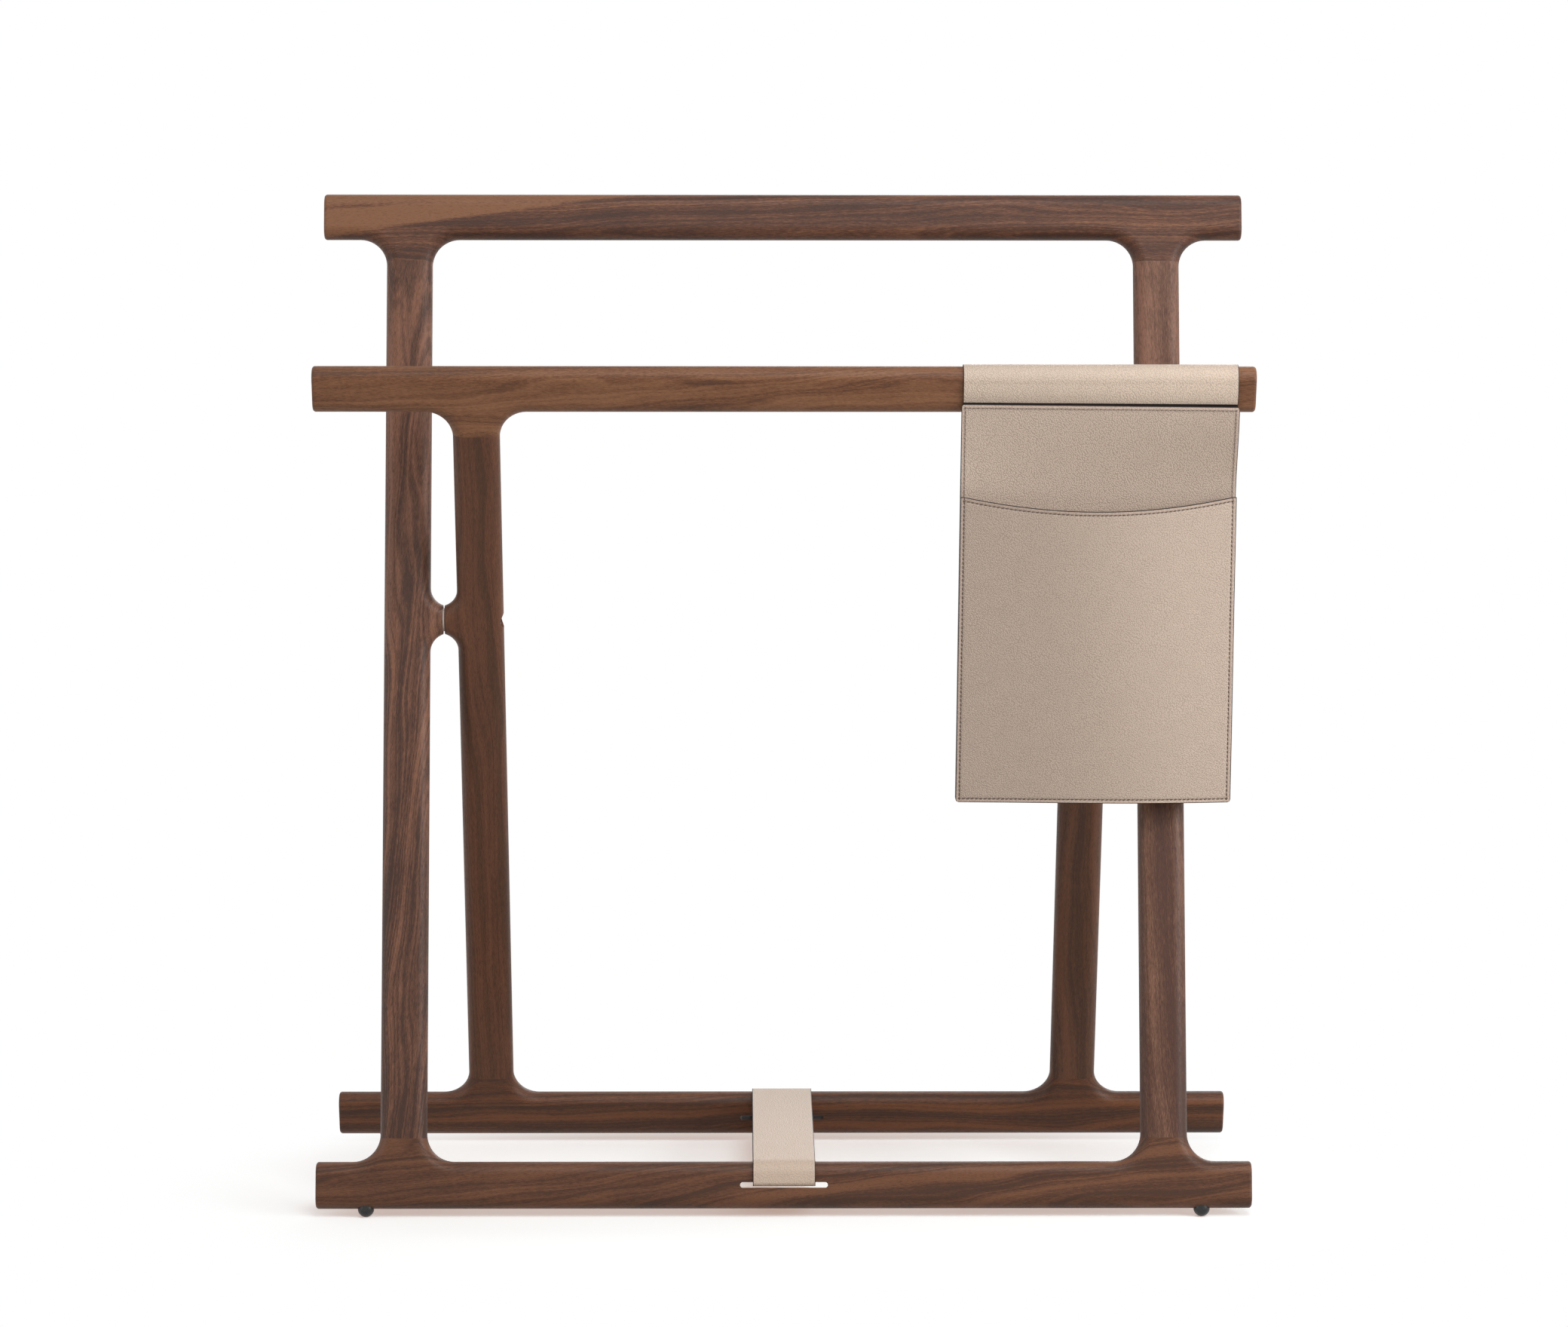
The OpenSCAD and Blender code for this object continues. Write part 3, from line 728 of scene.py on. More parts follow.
@dataclass
class Hide:
    """One piece of leather, cut as patches that share edges, with its thickness and painted edges.

    Attributes:
        name: The piece's name.
        thickness: The leather's thickness.
        patches: Its patches, all laid the same way round.
        rim: How round the edge is.
    """

    name: str
    thickness: float
    patches: list[Patch]
    rim: float = 0.3 * MM

    def build(self, leather: bpy.types.Material, outward: Callable[[Vector], Vector]) -> bpy.types.Object:
        """Makes the piece, with edge paint on its rim.

        Args:
            leather: Its faces.
            outward: Gives the direction that the map's face should point at a place.

        Returns:
            The finished object, with its thickness and rounded edges as modifiers.
        """
        mesh = bpy.data.meshes.new(self.name)
        form = bmesh.new()
        form.loops.layers.uv.new(HIDE_MAP)
        form.verts.layers.float_vector.new(MARGIN)
        for patch in self.patches:
            patch.lay(form)
        bmesh.ops.remove_doubles(form, verts=form.verts, dist=0.01 * MM)
        form.normal_update()
        first = next(iter(form.faces))
        if first.normal.dot(outward(first.calc_center_median())) < 0:
            bmesh.ops.reverse_faces(form, faces=form.faces)
        form.to_mesh(mesh)
        form.free()
        mesh.materials.append(leather)
        mesh.materials.append(EDGE_PAINT.material())
        made = new_object(self.name, mesh)
        wall = made.modifiers.new("thickness", "SOLIDIFY")
        wall.thickness = self.thickness
        wall.offset = 0.0
        wall.use_even_offset = True
        wall.material_offset_rim = 1
        soft = made.modifiers.new("burnished edge", "BEVEL")
        soft.width = self.rim
        soft.segments = 3
        soft.limit_method = "ANGLE"
        soft.angle_limit = math.radians(55)
        soft.material = 1
        return made


@dataclass(frozen=True)
class Seam:
    """A line of saddle stitches, all of one pitch and thread."""

    pitch: float = 2.75 * MM
    length: float = 2.15 * MM
    width: float = 0.6 * MM
    height: float = 0.5 * MM
    slant: float = math.radians(11)
    seed: int = 4

    def tree(self) -> bpy.types.NodeTree:
        """Builds the geometry that lays stitches along a line.

        Returns:
            The node tree, with the seam's sizes as named inputs.
        """
        tree = bpy.data.node_groups.new("saddle stitches", "GeometryNodeTree")
        inputs = {"Line": "Geometry", "Pitch": "Float", "Size": "Vector", "Slant": "Float", "Seed": "Int",
                  "Thread": "Material"}
        for name, kind in inputs.items():
            tree.interface.new_socket(name, in_out="INPUT", socket_type=f"NodeSocket{kind}")
        tree.interface.new_socket("Stitches", in_out="OUTPUT", socket_type="NodeSocketGeometry")
        node = partial(add, tree)
        given = node("NodeGroupInput").node.outputs

        line = node("GeometryNodeMeshToCurve", given["Line"])
        spaced = node("GeometryNodeResampleCurve", line, Length=given["Pitch"], mode="LENGTH")
        strand = node("GeometryNodeMeshUVSphere", Segments=8, Rings=5, Radius=0.5)
        strand = node("GeometryNodeTransform", strand, Scale=given["Size"])
        strand = node("GeometryNodeSetShadeSmooth", strand)

        face = node("GeometryNodeInputNamedAttribute", Name="face", data_type="FLOAT_VECTOR")
        tangent = node("GeometryNodeInputTangent")
        lay = node("FunctionNodeAlignRotationToVector", Vector=tangent, axis="X")
        lay = node("FunctionNodeAlignRotationToVector", lay, Vector=face, axis="Z", pivot_axis="X")
        uneven = node("FunctionNodeRandomValue", 0.75, 1.25, Seed=given["Seed"])
        about = node("CombineXYZ", Z=node("Math", given["Slant"], uneven, operation="MULTIPLY"))
        about = node("FunctionNodeEulerToRotation", about)
        lay = node("FunctionNodeRotateRotation", lay, about, rotation_space="LOCAL")

        laid = node("GeometryNodeInstanceOnPoints", spaced, Instance=strand, Rotation=lay)
        real = node("GeometryNodeRealizeInstances", laid)
        node("NodeGroupOutput", node("GeometryNodeSetMaterial", real, Material=given["Thread"]))
        return tree

    def sew(self, name: str, lines: Sequence[Stitched]) -> bpy.types.Object:
        """Lays stitches along lines.

        Args:
            name: The new object's name.
            lines: Each line as places on the leather with the direction out of it.

        Returns:
            One plain mesh of all the stitches.
        """
        mesh = bpy.data.meshes.new(name)
        edges, start = [], 0
        for line in lines:
            edges += [(start + i, start + i + 1) for i in range(len(line) - 1)]
            start += len(line)
        mesh.from_pydata([place for line in lines for place, _ in line], edges, [])
        face = mesh.attributes.new("face", "FLOAT_VECTOR", "POINT")
        face.data.foreach_set("vector", [c for line in lines for _, out in line for c in out])
        path = new_object(f"{name}_path", mesh)
        layer = path.modifiers.new("stitches", "NODES")
        layer.node_group = self.tree()
        values = {"Pitch": self.pitch, "Size": (self.length, self.width, self.height), "Slant": self.slant,
                  "Seed": self.seed, "Thread": THREAD.material()}
        for item in layer.node_group.interface.items_tree:
            if item.name in values:
                layer[item.identifier] = values[item.name]
        ready = path.evaluated_get(bpy.context.evaluated_depsgraph_get())
        sewn = new_object(name, bpy.data.meshes.new_from_object(ready))
        sewn.data.name = name
        bpy.data.objects.remove(path)
        return sewn


class Leaf(Enum):
    """The two leaves of the pocket."""

    BACK = "back leaf"
    FRONT = "front leaf"


@dataclass
class Pocket:
    """The leather pocket: a back leaf, a welt round three sides, a front leaf, and their stitches.

    A place on a leaf is x across from its middle and d down from its top edge, on the flat leather.

    Attributes:
        mouth_sag: How far the mouth's middle lies below its corners, which are mouth_margin from the sides.
        hem: How far below the mouth the mesh's rows follow it, and straighten is how far they then take
            to run level.
        groove: How deep the stitches pull the leather in, and groove_width how far to each side.
        crease: How wide the dark line under the stitches is, to each side: pressed leather and painted shade.
        settled: How far down the leather has left the straight seam at its top.
        forward: How far the leather comes forward at the foot; about a third of that at the mouth.
        ridge_top: Where the front leaf starts to turn back at the mouth, and ridge_foot at the foot.
        ramp: Over what width it takes its slope.
        sway: How much steeper the back leaf is at its sides than in its middle.
        fullness: How far the front leaf stands out at the mouth; belly and foot are the lengths over which
            that lessens, below the mouth and above the foot.
    """

    width: float = 177 * MM
    height: float = 255 * MM
    slant: float = math.radians(0.6)
    thickness: float = 1.6 * MM
    corner: float = 2 * MM
    mouth_drop: float = 58.5 * MM
    mouth_sag: float = 8.5 * MM
    mouth_margin: float = 2.4 * MM
    hem: float = 12 * MM
    straighten: float = 60 * MM
    welt: float = 7 * MM
    welt_sink: float = 2 * MM
    stitch_inset: float = 2.4 * MM
    paint_wrap: float = 0.45 * MM
    groove: float = 0.28 * MM
    groove_width: float = 0.75 * MM
    crease: float = 0.42 * MM
    settled: float = 60 * MM
    forward: float = 3.5 * MM
    ridge_top: float = -34 * MM
    ridge_foot: float = -2 * MM
    ramp: float = 85 * MM
    slope: float = 0.185
    sway: float = 2.2
    fullness: float = 1.2 * MM
    belly: float = 150 * MM
    foot: float = 50 * MM
    step: float = 5 * MM

    def __post_init__(self) -> None:
        """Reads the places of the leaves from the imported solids."""
        self.down = Vector((-math.sin(self.slant), 0, -math.cos(self.slant)))
        self.across = Vector((math.cos(self.slant), 0, -math.sin(self.slant)))
        self.top = centre("pocket_back_leaf") - self.down * self.height / 2
        self.back_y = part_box("pocket_back_leaf")[1][1]
        self.front_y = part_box("pocket_front_leaf")[0][1]
        self.mouth_half = self.width / 2 - self.mouth_margin
        self.mouth_radius = (self.mouth_half**2 + self.mouth_sag**2) / (2 * self.mouth_sag)

    def fall(self, x: float, lower: float) -> float:
        """Works out how far the front leaf has turned back, past a ridge that it hangs flat beside.

        Args:
            x: Across from the middle.
            lower: From 0 at the corners of the mouth to 1 at the foot.

        Returns:
            The distance towards the back.
        """
        past = max(0.0, x - self.ridge_top - (self.ridge_foot - self.ridge_top) * lower)
        return self.slope * (past * past / (2 * self.ramp) if past < self.ramp else past - self.ramp / 2)

    def full(self, x: float, d: float) -> float:
        """Works out how much of its fullness the front leaf shows at a place.

        Args:
            x: Across from the middle.
            d: Down from the top edge.

        Returns:
            From 0 at the sides and the foot to 1 at the mouth's middle.
        """
        across = max(0.0, 1 - (2 * x / (self.width - 2 * self.welt)) ** 2)
        below = 1 - 0.75 * ease((d - self.mouth_drop) / self.belly)
        return across * below * ease((self.height - d) / self.foot)

    def place(self, x: float, d: float, y: float, leaf: Leaf) -> Vector:
        """Turns a place on a leaf into one in the world.

        The seam holds the top edge straight. Below it the left side has come forward a little and the
        right side falls away to the back. The back leaf goes from side to side in one hollow sweep, which
        is steepest near the sides, and it joins the front leaf's shape at the foot.

        Args:
            x: Across from the middle.
            d: Down from the top edge.
            y: The leaf's plane before it drapes.
            leaf: The leaf that the place is on.

        Returns:
            The place in the world.
        """
        lower = ease((d - self.mouth_drop) / (self.height - self.mouth_drop))
        back = self.fall(x, lower)
        if leaf is Leaf.BACK:
            u = 2 * x / self.width
            swept = (u + 1 + self.sway * (u**3 + 1) / 3) / (2 + self.sway * 2 / 3)
            back += (self.fall(self.width / 2, lower) * swept - back) * (1 - lower)
        else:
            back -= self.fullness * self.full(x, d)
        back -= self.forward * (0.35 + 0.65 * lower)
        flat = self.top + self.across * x + self.down * d
        return Vector((flat.x, y + ease(d / self.settled) * back, flat.z))

    def mouth(self, x: float) -> float:
        """Works out where the mouth lies.

        Args:
            x: Across from the middle.

        Returns:
            How far down from the pocket's top edge it is there.
        """
        if abs(x) > self.mouth_half:
            return self.mouth_drop
        rise = self.mouth_radius - math.sqrt(self.mouth_radius**2 - x**2)
        return self.mouth_drop + self.mouth_sag - rise

    def rounded(self, x: float, from_edge: float) -> float:
        """Narrows a row near the leaf's top or bottom edge for its round corners.

        Args:
            x: Across from the middle.
            from_edge: How far the row lies from the edge.

        Returns:
            The new place across.
        """
        if from_edge >= self.corner:
            return x
        cut = self.corner - math.sqrt(self.corner**2 - (self.corner - from_edge) ** 2)
        border = 4 * self.corner
        past = abs(x) - (self.width / 2 - border)
        return x - math.copysign(max(0.0, past) * cut / border, x)

    def leaf_hide(self, leaf: Leaf) -> Hide:
        """Lays out one of the leaves.

        Args:
            leaf: Which one. The front leaf's upper edge is the mouth.

        Returns:
            The leaf, ready to be made.
        """
        front = leaf is Leaf.FRONT
        # The mesh is finer at the rim and about the stitch line
        near = [self.paint_wrap, 1.0 * MM, 1.5 * MM]
        near += [self.stitch_inset + k * MM for k in (-0.45, 0, 0.45, 1.0, 1.8, 3.2)]
        columns = stations(self.width, self.step, near)
        top = self.mouth_drop if front else 0.0
        y = self.front_y + self.thickness / 2 if front else self.back_y - self.thickness / 2
        rows = stations(self.height - top, self.step, near)
        places, flat, margin = [], [], []
        for row in rows:
            places.append([])
            flat.append([])
            margin.append([])
            rounding = self.height - top - row
            rounding = rounding if front else min(rounding, row)
            for column in columns:
                x = self.rounded(column - self.width / 2, rounding)
                upper = self.mouth(x) if front else 0.0
                # Below the mouth's hem the rows straighten out towards the foot
                d = upper + row - (upper - top) * ease((row - self.hem) / self.straighten)
                inside = min(self.width / 2 - abs(x), self.height - d, d - upper) - self.stitch_inset
                pull = self.groove * hump(inside / self.groove_width) * (1 if front else -0.6)
                places[-1].append(self.place(x, d, y + pull, leaf))
                flat[-1].append((x, -d))
                margin[-1].append((1 - ease((inside + 0.6 * MM) / (0.5 * MM)), hump(inside / self.crease)))
        last_row, last_column = len(rows) - 2, len(columns) - 2
        patch = Patch(places, flat, margin, lambda i, j: i in (0, last_row) or j in (0, last_column))
        return Hide(f"leather_{leaf.value.replace(' ', '_')}", self.thickness - AIR, [patch])

    def welt_hide(self) -> Hide:
        """Lays out the welt, a band round both sides and the bottom, between the leaves.

        Returns:
            The welt, ready to be made.
        """
        y = (self.back_y + self.front_y) / 2
        half, corner = self.width / 2, self.corner
        top, turn = self.mouth_drop + self.welt_sink, self.height - corner
        outline = [(-half, top), *((-half, d) for d in stations(self.height, self.step) if top < d < turn)]
        outline += [(corner - half - x, turn + d) for x, d in arc((0, 0), corner, sweep(0, 90, 6))]
        outline += [(x - half, self.height) for x in stations(self.width, self.step) if corner < x < half]
        outline += [(-x, d) for x, d in reversed(outline)]
        places = []
        for x, d in outline:
            inner_x = min(max(x, -half + self.welt), half - self.welt)
            inner_d = min(d, self.height - self.welt)
            places.append([(self.place(*at, y, Leaf.BACK) + self.place(*at, y, Leaf.FRONT)) / 2
                           for at in ((x, d), (inner_x, inner_d))])
        flat = [[(run, 0.0), (run, self.welt)] for run in lengths(outline)]
        room = self.back_y - self.front_y - 2 * self.thickness
        return Hide("leather_welt", room - AIR, [Patch(places, flat)])

    def seam_lines(self) -> list[Stitched]:
        """Traces the stitch lines: round the pocket on both faces, and under the mouth.

        Returns:
            The lines, each as places with the direction out of the leather.
        """
        half = self.width / 2 - self.stitch_inset
        top, bottom = self.stitch_inset, self.height - self.stitch_inset
        sunk = 0.05 * MM
        front_y, back_y = self.front_y + sunk, self.back_y - sunk
        panel_y = self.back_y - self.thickness + sunk
        lines = []

        def run(start: Pair, end: Pair, y: float, out: Vector, leaf: Leaf) -> None:
            """Adds a straight line of stitches between two places on a face."""
            places = zip(*(spread(a, b, 48) for a, b in zip(start, end)))
            lines.append([(self.place(x, d, y, leaf), out) for x, d in places])

        run((-half, top), (half, top), panel_y, FORWARD, Leaf.BACK)
        meet = self.mouth_drop + 0.8 * MM
        for side in (-half, half):
            run((side, top), (side, self.mouth_drop), panel_y, FORWARD, Leaf.BACK)
            run((side, meet), (side, bottom), front_y, FORWARD, Leaf.FRONT)
        run((-half, bottom), (half, bottom), front_y, FORWARD, Leaf.FRONT)
        lines.append([(self.place(x, self.mouth(x) + self.stitch_inset, front_y, Leaf.FRONT), FORWARD)
                      for x in spread(-half, half, 96)])
        ring = ((-half, top), (half, top), (half, bottom), (-half, bottom), (-half, top))
        for start, end in zip(ring, ring[1:]):
            run(start, end, back_y, BACKWARD, Leaf.BACK)
        return lines

    def build(self) -> None:
        """Makes the pocket's pieces and sets them on their body."""
        panel = Leather("embossed calf leather, back leaf", depth=0.75, relief=1.0).material()
        # The front leaf is given painted light: darker at its left, brighter at its right
        fine = Leather("embossed calf leather, front leaf", depth=0.66, relief=0.85, stretch=1.05,
                       turn=-35.0, painted_side_light=(0.87, 1.03)).material()
        back_leaf = self.leaf_hide(Leaf.BACK).build(panel, lambda _: FORWARD)
        front_leaf = self.leaf_hide(Leaf.FRONT).build(fine, lambda _: FORWARD)
        welt = self.welt_hide().build(EDGE_PAINT.material(), lambda _: FORWARD)
        stitches = Seam().sew("pocket_stitches", self.seam_lines())
        for piece in (back_leaf, front_leaf, welt, stitches):
            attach(piece, "pocket")
            log.info("%s made", piece.name)
        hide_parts("pocket_back_leaf")
        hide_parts("pocket_front_leaf")
        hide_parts("pocket_welt")


@dataclass
class Hanger:
    """The strip that folds over the front rail: a back flap, a seam under the pocket, and two closing tabs.

    A place round the rail is n, square to the frame towards the back, and u, up from the rail's middle.

    Attributes:
        gap: The air between two layers, and between the leather and the rail.
        inset: How much narrower it is than the pocket, at each side.
        bow: How far its face bows off the rail, beyond the gap.
        face_end: Where the face ends at the pocket's top edge, as u.
    """

    cross: CrossFrame
    pocket: Pocket
    thickness: float = 1 * MM
    gap: float = 0.3 * MM
    inset: float = 1 * MM
    bow: float = 0.9 * MM
    face_end: float = -5.5 * MM
    flap_drop: float = 4 * MM
    seam_end: float = 13.3 * MM
    tab_width: float = 26 * MM
    tab_rise: float = 8 * MM

    def __post_init__(self) -> None:
        """Works out the hanger's size and its distance from the rail."""
        self.core = self.cross.core
        self.near = self.cross.edge + self.gap + self.thickness / 2
        self.far = self.near + self.thickness + self.gap
        self.half = self.pocket.width / 2 - self.inset
        self.inner = self.half - self.tab_width

    def over(self) -> Trace:
        """Traces the leather's middle from the flap's end, over the rail and down its front.

        Returns:
            The trace, as (n, u).
        """
        flap = [(self.near, u) for u in spread(-self.flap_drop, self.core, 8)[:-1]]
        face = zip(sweep(0, 180, 14), spread(self.core, -self.core, 14))
        front = [(-self.near - self.bow * math.sin(a), u) for a, u in face]
        return flap + arc((0, self.core), self.near, sweep(0, 180, 30)) + front[1:]

    def seam(self) -> Trace:
        """Traces the seam margin straight down behind the pocket's top edge, as (n, u)."""
        return [(-self.near, u) for u in spread(-self.core, -self.seam_end, 6)]

    def tab(self) -> Trace:
        """Traces a closing tab, under the rail and up its back outside the flap.

        Returns:
            The trace, as (n, u).
        """
        under = arc((0, -self.core), self.near, sweep(180, 270, 14))
        middle = -self.core - self.near + self.far
        up = arc((0, middle), self.far, sweep(270, 360, 14))
        return under + up[1:] + [(self.far, u) for u in spread(middle, self.tab_rise, 10)[1:]]

    def patch(self, trace: Trace, columns: list[float], start: float, painted: Painted) -> Patch:
        """Lays a patch along a trace round the rail.

        The lower end of the face runs level with the pocket's top edge, which hangs at a slant.

        Args:
            trace: The patch's middle line, as (n, u).
            columns: Places across, from the middle of the hanger.
            start: The length of leather before the trace.
            painted: Which of its faces carry paint.

        Returns:
            The patch.
        """
        middle, height = centre("pocket_hanger").x, self.cross.upper_u
        rows = []
        for n, u in trace:
            on_face = n < 0 and -self.core < u < self.core
            level = ease((self.core - u) / (self.core - self.face_end)) if u > self.face_end else (
                (u + self.core) / (self.face_end + self.core))
            drop = level * math.tan(self.pocket.slant) if on_face else 0.0
            rows.append([self.cross.point(middle + x, height + u - x * drop, n) for x in columns])
        return Patch(rows, [[(x, -run) for x in columns] for run in lengths(trace, start)], painted=painted)

    def build(self) -> None:
        """Makes the hanger and sets it on its body."""
        # The mesh is finer at the two rims
        rims = [self.half - k * MM for k in (0, 0.45, 1.2, 3)]
        across = spread(-self.inner, self.inner, 24)
        right = [*spread(self.inner, rims[-1], 5)[:-1], *reversed(rims)]
        left = [-x for x in reversed(right)]
        columns = left + across[1:-1] + right
        over, tab = self.over(), self.tab()
        length = lengths(over)[-1]
        whole = lengths(tab, length)[-1]
        # Edge paint covers the rims; the end of the face, the seam margin behind the pocket and the front of
        # the tabs take it too, as painted shade for the dark gap under the hanger
        last, end, hidden = len(columns) - 2, len(tab) - 2, 7
        patches = [
            self.patch(over, columns, 0.0, lambda i, j: i == 0 or j in (0, last) or (
                over[i][0] < 0 and over[i][1] < self.face_end + 0.01 * MM)),
            self.patch(self.seam(), across, length, lambda i, j: True),
            self.patch(tab, left, length, lambda i, j: i < hidden or i == end or j == 0),
            self.patch(tab, right, length, lambda i, j: i < hidden or i == end or j == len(right) - 2),
        ]
        # The hanger is given painted light: a little brighter at its right
        leather = Leather("embossed calf leather, hanger", crown="#dac6b4", valley="#b19d8c", depth=0.64,
                          relief=0.9, painted_side_light=(1.0, 1.07)).material()
        middle = self.cross.point(0, self.cross.upper_u, 0)
        piece = Hide("leather_hanger", self.thickness - AIR, patches).build(
            leather, lambda p: Vector((0, p.y - middle.y, p.z - middle.z)))
        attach(piece, self.cross.body)
        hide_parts("pocket_hanger")
        area = 2 * self.half * length + 2 * self.inner * (self.seam_end - self.core)
        area += 2 * self.tab_width * (whole - length)
        log.info("%s made", piece.name)


@dataclass
class TieStrap:
    """The closed leather band through the slots of the lower rails, which holds the rack open.

    Attributes:
        gap: The air between the leather and a rail.
        fold: The radius of its turn at a slot's mouth, and ease_radius that of the turn into the lower run.
        lap: How far its two ends lie on each other, sewn, in the middle of the lower run.
    """

    outer: CrossFrame
    width: float = 40 * MM
    thickness: float = 1.6 * MM
    gap: float = 0.3 * MM
    fold: float = 2 * MM
    ease_radius: float = 30 * MM
    lap: float = 34 * MM
    stitch_inset: float = 3 * MM

    def loop(self) -> Trace:
        """Traces the middle of the leather once round the band, as (y, z).

        Returns:
            The closed line, from the middle of the upper run towards the front.
        """
        turn = 180 - math.degrees(self.outer.lean)
        edge, low = self.outer.edge, self.outer.lower_u
        crest = edge + self.gap + self.thickness / 2
        over = self.outer.point(0, low + self.outer.core, 0)
        mouth = self.outer.point(0, low + self.fold, self.fold - crest)
        out = self.outer.point(0, low + self.ease_radius, edge)
        front = []
        for middle, radius, start, end in ((over, crest, 90, turn), (mouth, self.fold, turn, turn + 90),
                                           (out, self.ease_radius, turn + 90, 270)):
            front += arc((middle.y, middle.z), radius, sweep(start, end, 12))
        upper = [(y, front[0][1]) for y in spread(0, front[0][0], 12)[:-1]]
        lower = [(y, front[-1][1]) for y in spread(front[-1][0], 0, 12)[1:]]
        half = upper + front + lower
        return half + [(-y, z) for y, z in reversed(half)][1:-1]

    def build(self) -> None:
        """Makes the band, its sewn lap and the lap's stitches."""
        loop = self.loop()
        columns = stations(self.width, 4 * MM, (0.45 * MM, 1 * MM, 2 * MM))
        half, last = self.width / 2, len(columns) - 2
        runs = lengths([*loop, loop[0]])
        leather = Leather("embossed calf leather, strap", crown="#d5beab", valley="#b09e8d", depth=0.5,
                          relief=0.6).material()
        whole = Patch([[Vector((x - half, y, z)) for x in columns] for y, z in loop],
                      [[(x, run) for x in columns] for run in runs],
                      painted=lambda i, j: j in (0, last), closed=True)
        inside = self.outer.point(0, self.outer.lower_u, 0).z
        band = Hide("leather_tie_strap", self.thickness - AIR / 2, [whole]).build(
            leather, lambda p: Vector((0, p.y, p.z - inside)))

        floor_run = min(z for _, z in loop)
        along = stations(self.lap, 3 * MM)
        sewn = Patch([[Vector((x - half, y - self.lap / 2, floor_run + self.thickness)) for x in columns]
                      for y in along], [[(x, y) for x in columns] for y in along])
        lap = Hide("leather_strap_lap", self.thickness - AIR / 2, [sewn]).build(leather, lambda _: UP)
        stitches = Seam().sew("strap_stitches", self.lap_lines(floor_run))

        start = self.outer.point(0, self.outer.lower_u, 10 * MM)
        for piece in (band, lap, stitches):
            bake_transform(piece)
            log.info("%s made", piece.name)
        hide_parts("tie_strap")

    def lap_lines(self, floor_run: float) -> list[Stitched]:
        """Traces the stitches that close the band, on both faces of its lap.

        Args:
            floor_run: The height of the middle of the lower run.

        Returns:
            The lines, each as places with the direction out of the leather.
        """
        x, y = self.width / 2 - self.stitch_inset, self.lap / 2 - self.stitch_inset
        ring = ((-x, -y), (x, -y), (x, y), (-x, y), (-x, -y))
        proud = 0.08 * MM
        faces = ((floor_run + 1.5 * self.thickness + proud, UP),
                 (floor_run - self.thickness / 2 - proud, -UP))
        return [[(Vector((*place, z)), out) for place in zip(*(spread(a, b, 12) for a, b in zip(*side)))]
                for z, out in faces for side in zip(ring, ring[1:])]


# ---- studio


@dataclass
class Softbox:
    """A square white studio lamp that points at the rack's middle."""

    name: str
    place: tuple[float, float, float]
    size: float
    power: float

    def build(self, target: Vector) -> None:
        """Makes the lamp.

        Args:
            target: What it points at.
        """
        data = bpy.data.lights.new(self.name, "AREA")
        data.shape = "SQUARE"
        data.size = self.size
        data.energy = self.power
        lamp = new_object(self.name, data)
        lamp.location = self.place
        lamp.rotation_euler = (Vector(self.place) - target).to_track_quat("Z", "Y").to_euler()


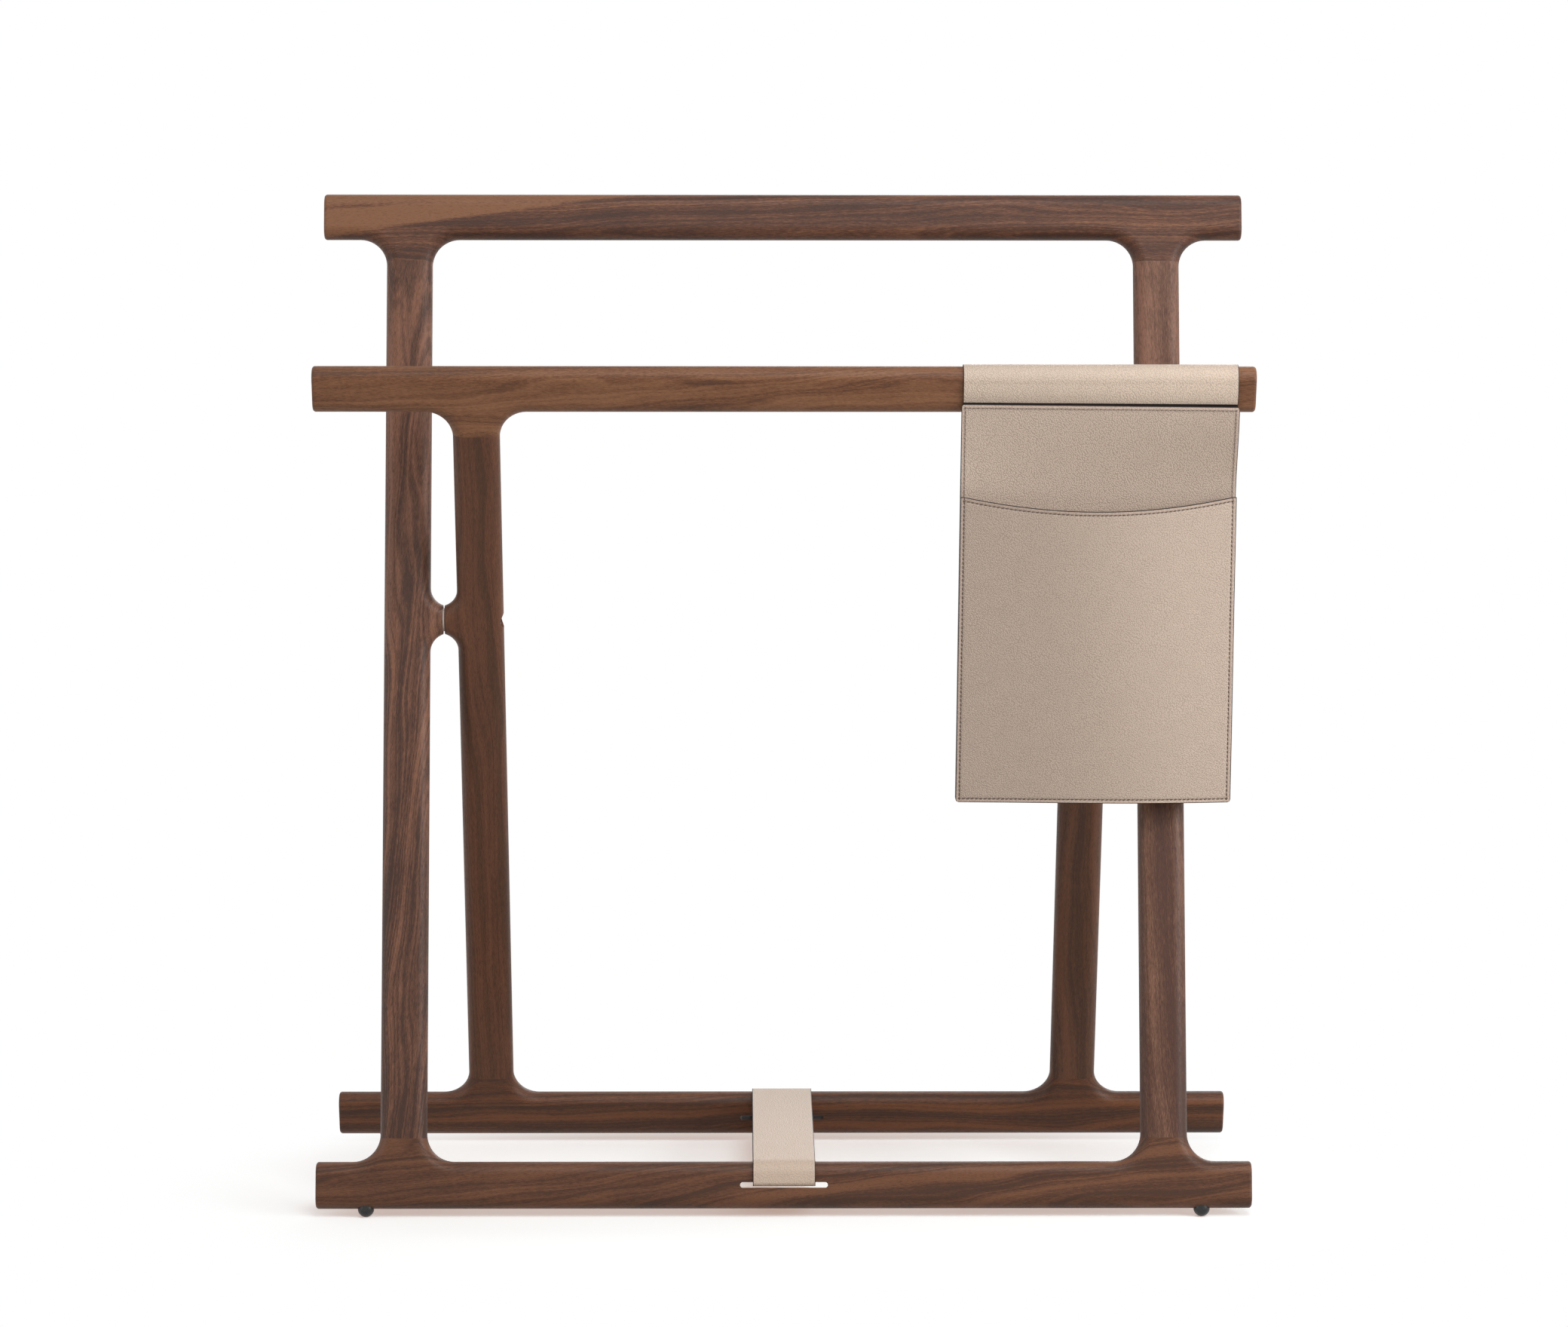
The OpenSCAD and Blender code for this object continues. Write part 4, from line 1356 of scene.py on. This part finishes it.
@dataclass
class Studio:
    """The plain room: a white floor without a horizon, soft lamps and a long lens.

    Attributes:
        floor_bounce: The floor's colour where it only sends light back up.
        floor_lit: Its colour where it shows the lamps' light and shadow, and floor_glow is added to that.
        floor_oval: Half the size of the oval round the rack in which it shows them, and floor_middle is
            that oval's middle.
    """

    lens: float = 112.887
    camera_place: tuple[float, float, float] = (-0.02829, -3.15819, 0.84598)
    pitch: float = 9.0425
    yaw: float = 0.5082
    roll: float = -0.0751
    target: tuple[float, float, float] = (0.0, 0.0, 0.35)
    ambient: float = 0.25
    ambient_colour: str = "#fbfaf8"
    floor_size: float = 24.0
    floor_bounce: str = "#c4c1bd"
    floor_lit: str = "#e1f7fd"
    floor_glow: str = "#af958a"
    floor_oval: tuple[float, float, float] = (0.37, 0.20, 1.0)
    floor_middle: tuple[float, float, float] = (0.0, -0.04, 0.0)
    lamps: tuple[Softbox, ...] = (
        Softbox("overhead softbox", (0.45, -1.25, 2.15), 1.3, 24.0),
        Softbox("right softbox", (1.6, -0.85, 0.8), 0.8, 16.5),
        Softbox("left softbox", (-2.2, -0.9, 1.0), 1.2, 8.0),
        Softbox("rear softbox", (0.7, 2.3, 1.1), 1.4, 16.0),
    )

    def build(self) -> None:
        """Makes the camera, the lamps, the floor and the surroundings."""
        self.camera()
        for lamp in self.lamps:
            lamp.build(Vector(self.target))
        self.floor()
        self.surroundings()
        bpy.context.scene.view_settings.view_transform = "Standard"

    def camera(self) -> None:
        """Sets the camera in front of the rack and above it, tilted a little down."""
        data = bpy.data.cameras.new("camera")
        data.lens = self.lens
        data.sensor_width = 36.0
        data.clip_end = 60.0
        made = new_object("camera", data)
        made.location = self.camera_place
        made.rotation_euler = [math.radians(angle) for angle in (90 - self.pitch, self.roll, -self.yaw)]
        bpy.context.scene.camera = made

    @staticmethod
    def seen(node: Callable[..., Any], hidden: Any, shown: Any) -> Any:
        """Lets a surface look otherwise than it lights: to the camera, in a reflection and through glass.

        Args:
            node: Adds a node to the surface's tree.
            hidden: The shader that sends out light.
            shown: The shader that is seen.

        Returns:
            The two shaders, mixed.
        """
        camera = node("LightPath", out="Is Camera Ray")
        rays = camera.node.outputs
        test = node("Math", camera, rays["Is Glossy Ray"], operation="MAXIMUM")
        test = node("Math", test, rays["Is Transmission Ray"], operation="MAXIMUM")
        return node("MixShader", test, hidden, shown)

    def floor(self) -> None:
        """Makes a white floor that keeps the rack's soft shadow and sends light back up."""
        half = self.floor_size / 2
        mesh = bpy.data.meshes.new("floor")
        mesh.from_pydata([(-half, -half, 0), (half, -half, 0), (half, half, 0), (-half, half, 0)], [],
                         [(0, 1, 2, 3)])
        material = bpy.data.materials.new("white painted floor")
        node = fresh(material)
        bounce = node("BsdfDiffuse", colour(self.floor_bounce))
        # What shows keeps the rack's warm shadow close under it, and fades to a plain white round it
        near = node("AddShader", node("BsdfDiffuse", colour(self.floor_lit)),
                    node("Emission", colour(self.floor_glow), 1.0))
        place = node("Mapping", node("TexCoord", out="Object"), self.floor_middle, Scale=self.floor_oval,
                     vector_type="TEXTURE")
        away = node("VectorMath", place, operation="LENGTH")
        away = node("MapRange", away, 0.7, 1.15, 0.0, 1.0, interpolation_type="SMOOTHSTEP")
        shown = node("MixShader", away, near, node("Emission", colour(WHITE), 1.0))
        node("OutputMaterial", self.seen(node, bounce, shown))
        mesh.materials.append(material)
        new_object("floor", mesh)

    def surroundings(self) -> None:
        """Makes the air round the rack: white to look at, and a plain even light."""
        world = bpy.data.worlds.new("studio")
        bpy.context.scene.world = world
        node = fresh(world)
        even = node("Background", colour(self.ambient_colour), self.ambient)
        node("OutputWorld", self.seen(node, even, node("Background", colour(WHITE), 1.0)))


def main() -> None:
    """Builds the rack's looks and its studio."""
    logging.basicConfig(level=logging.INFO, format="%(name)s: %(message)s")
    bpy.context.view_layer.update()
    Studio().build()
    wood = WoodenFrames()
    wood.build()
    pocket = Pocket()
    Hanger(wood.inner, pocket).build()
    pocket.build()
    TieStrap(wood.outer).build()


if __name__ == "__main__":
    main()
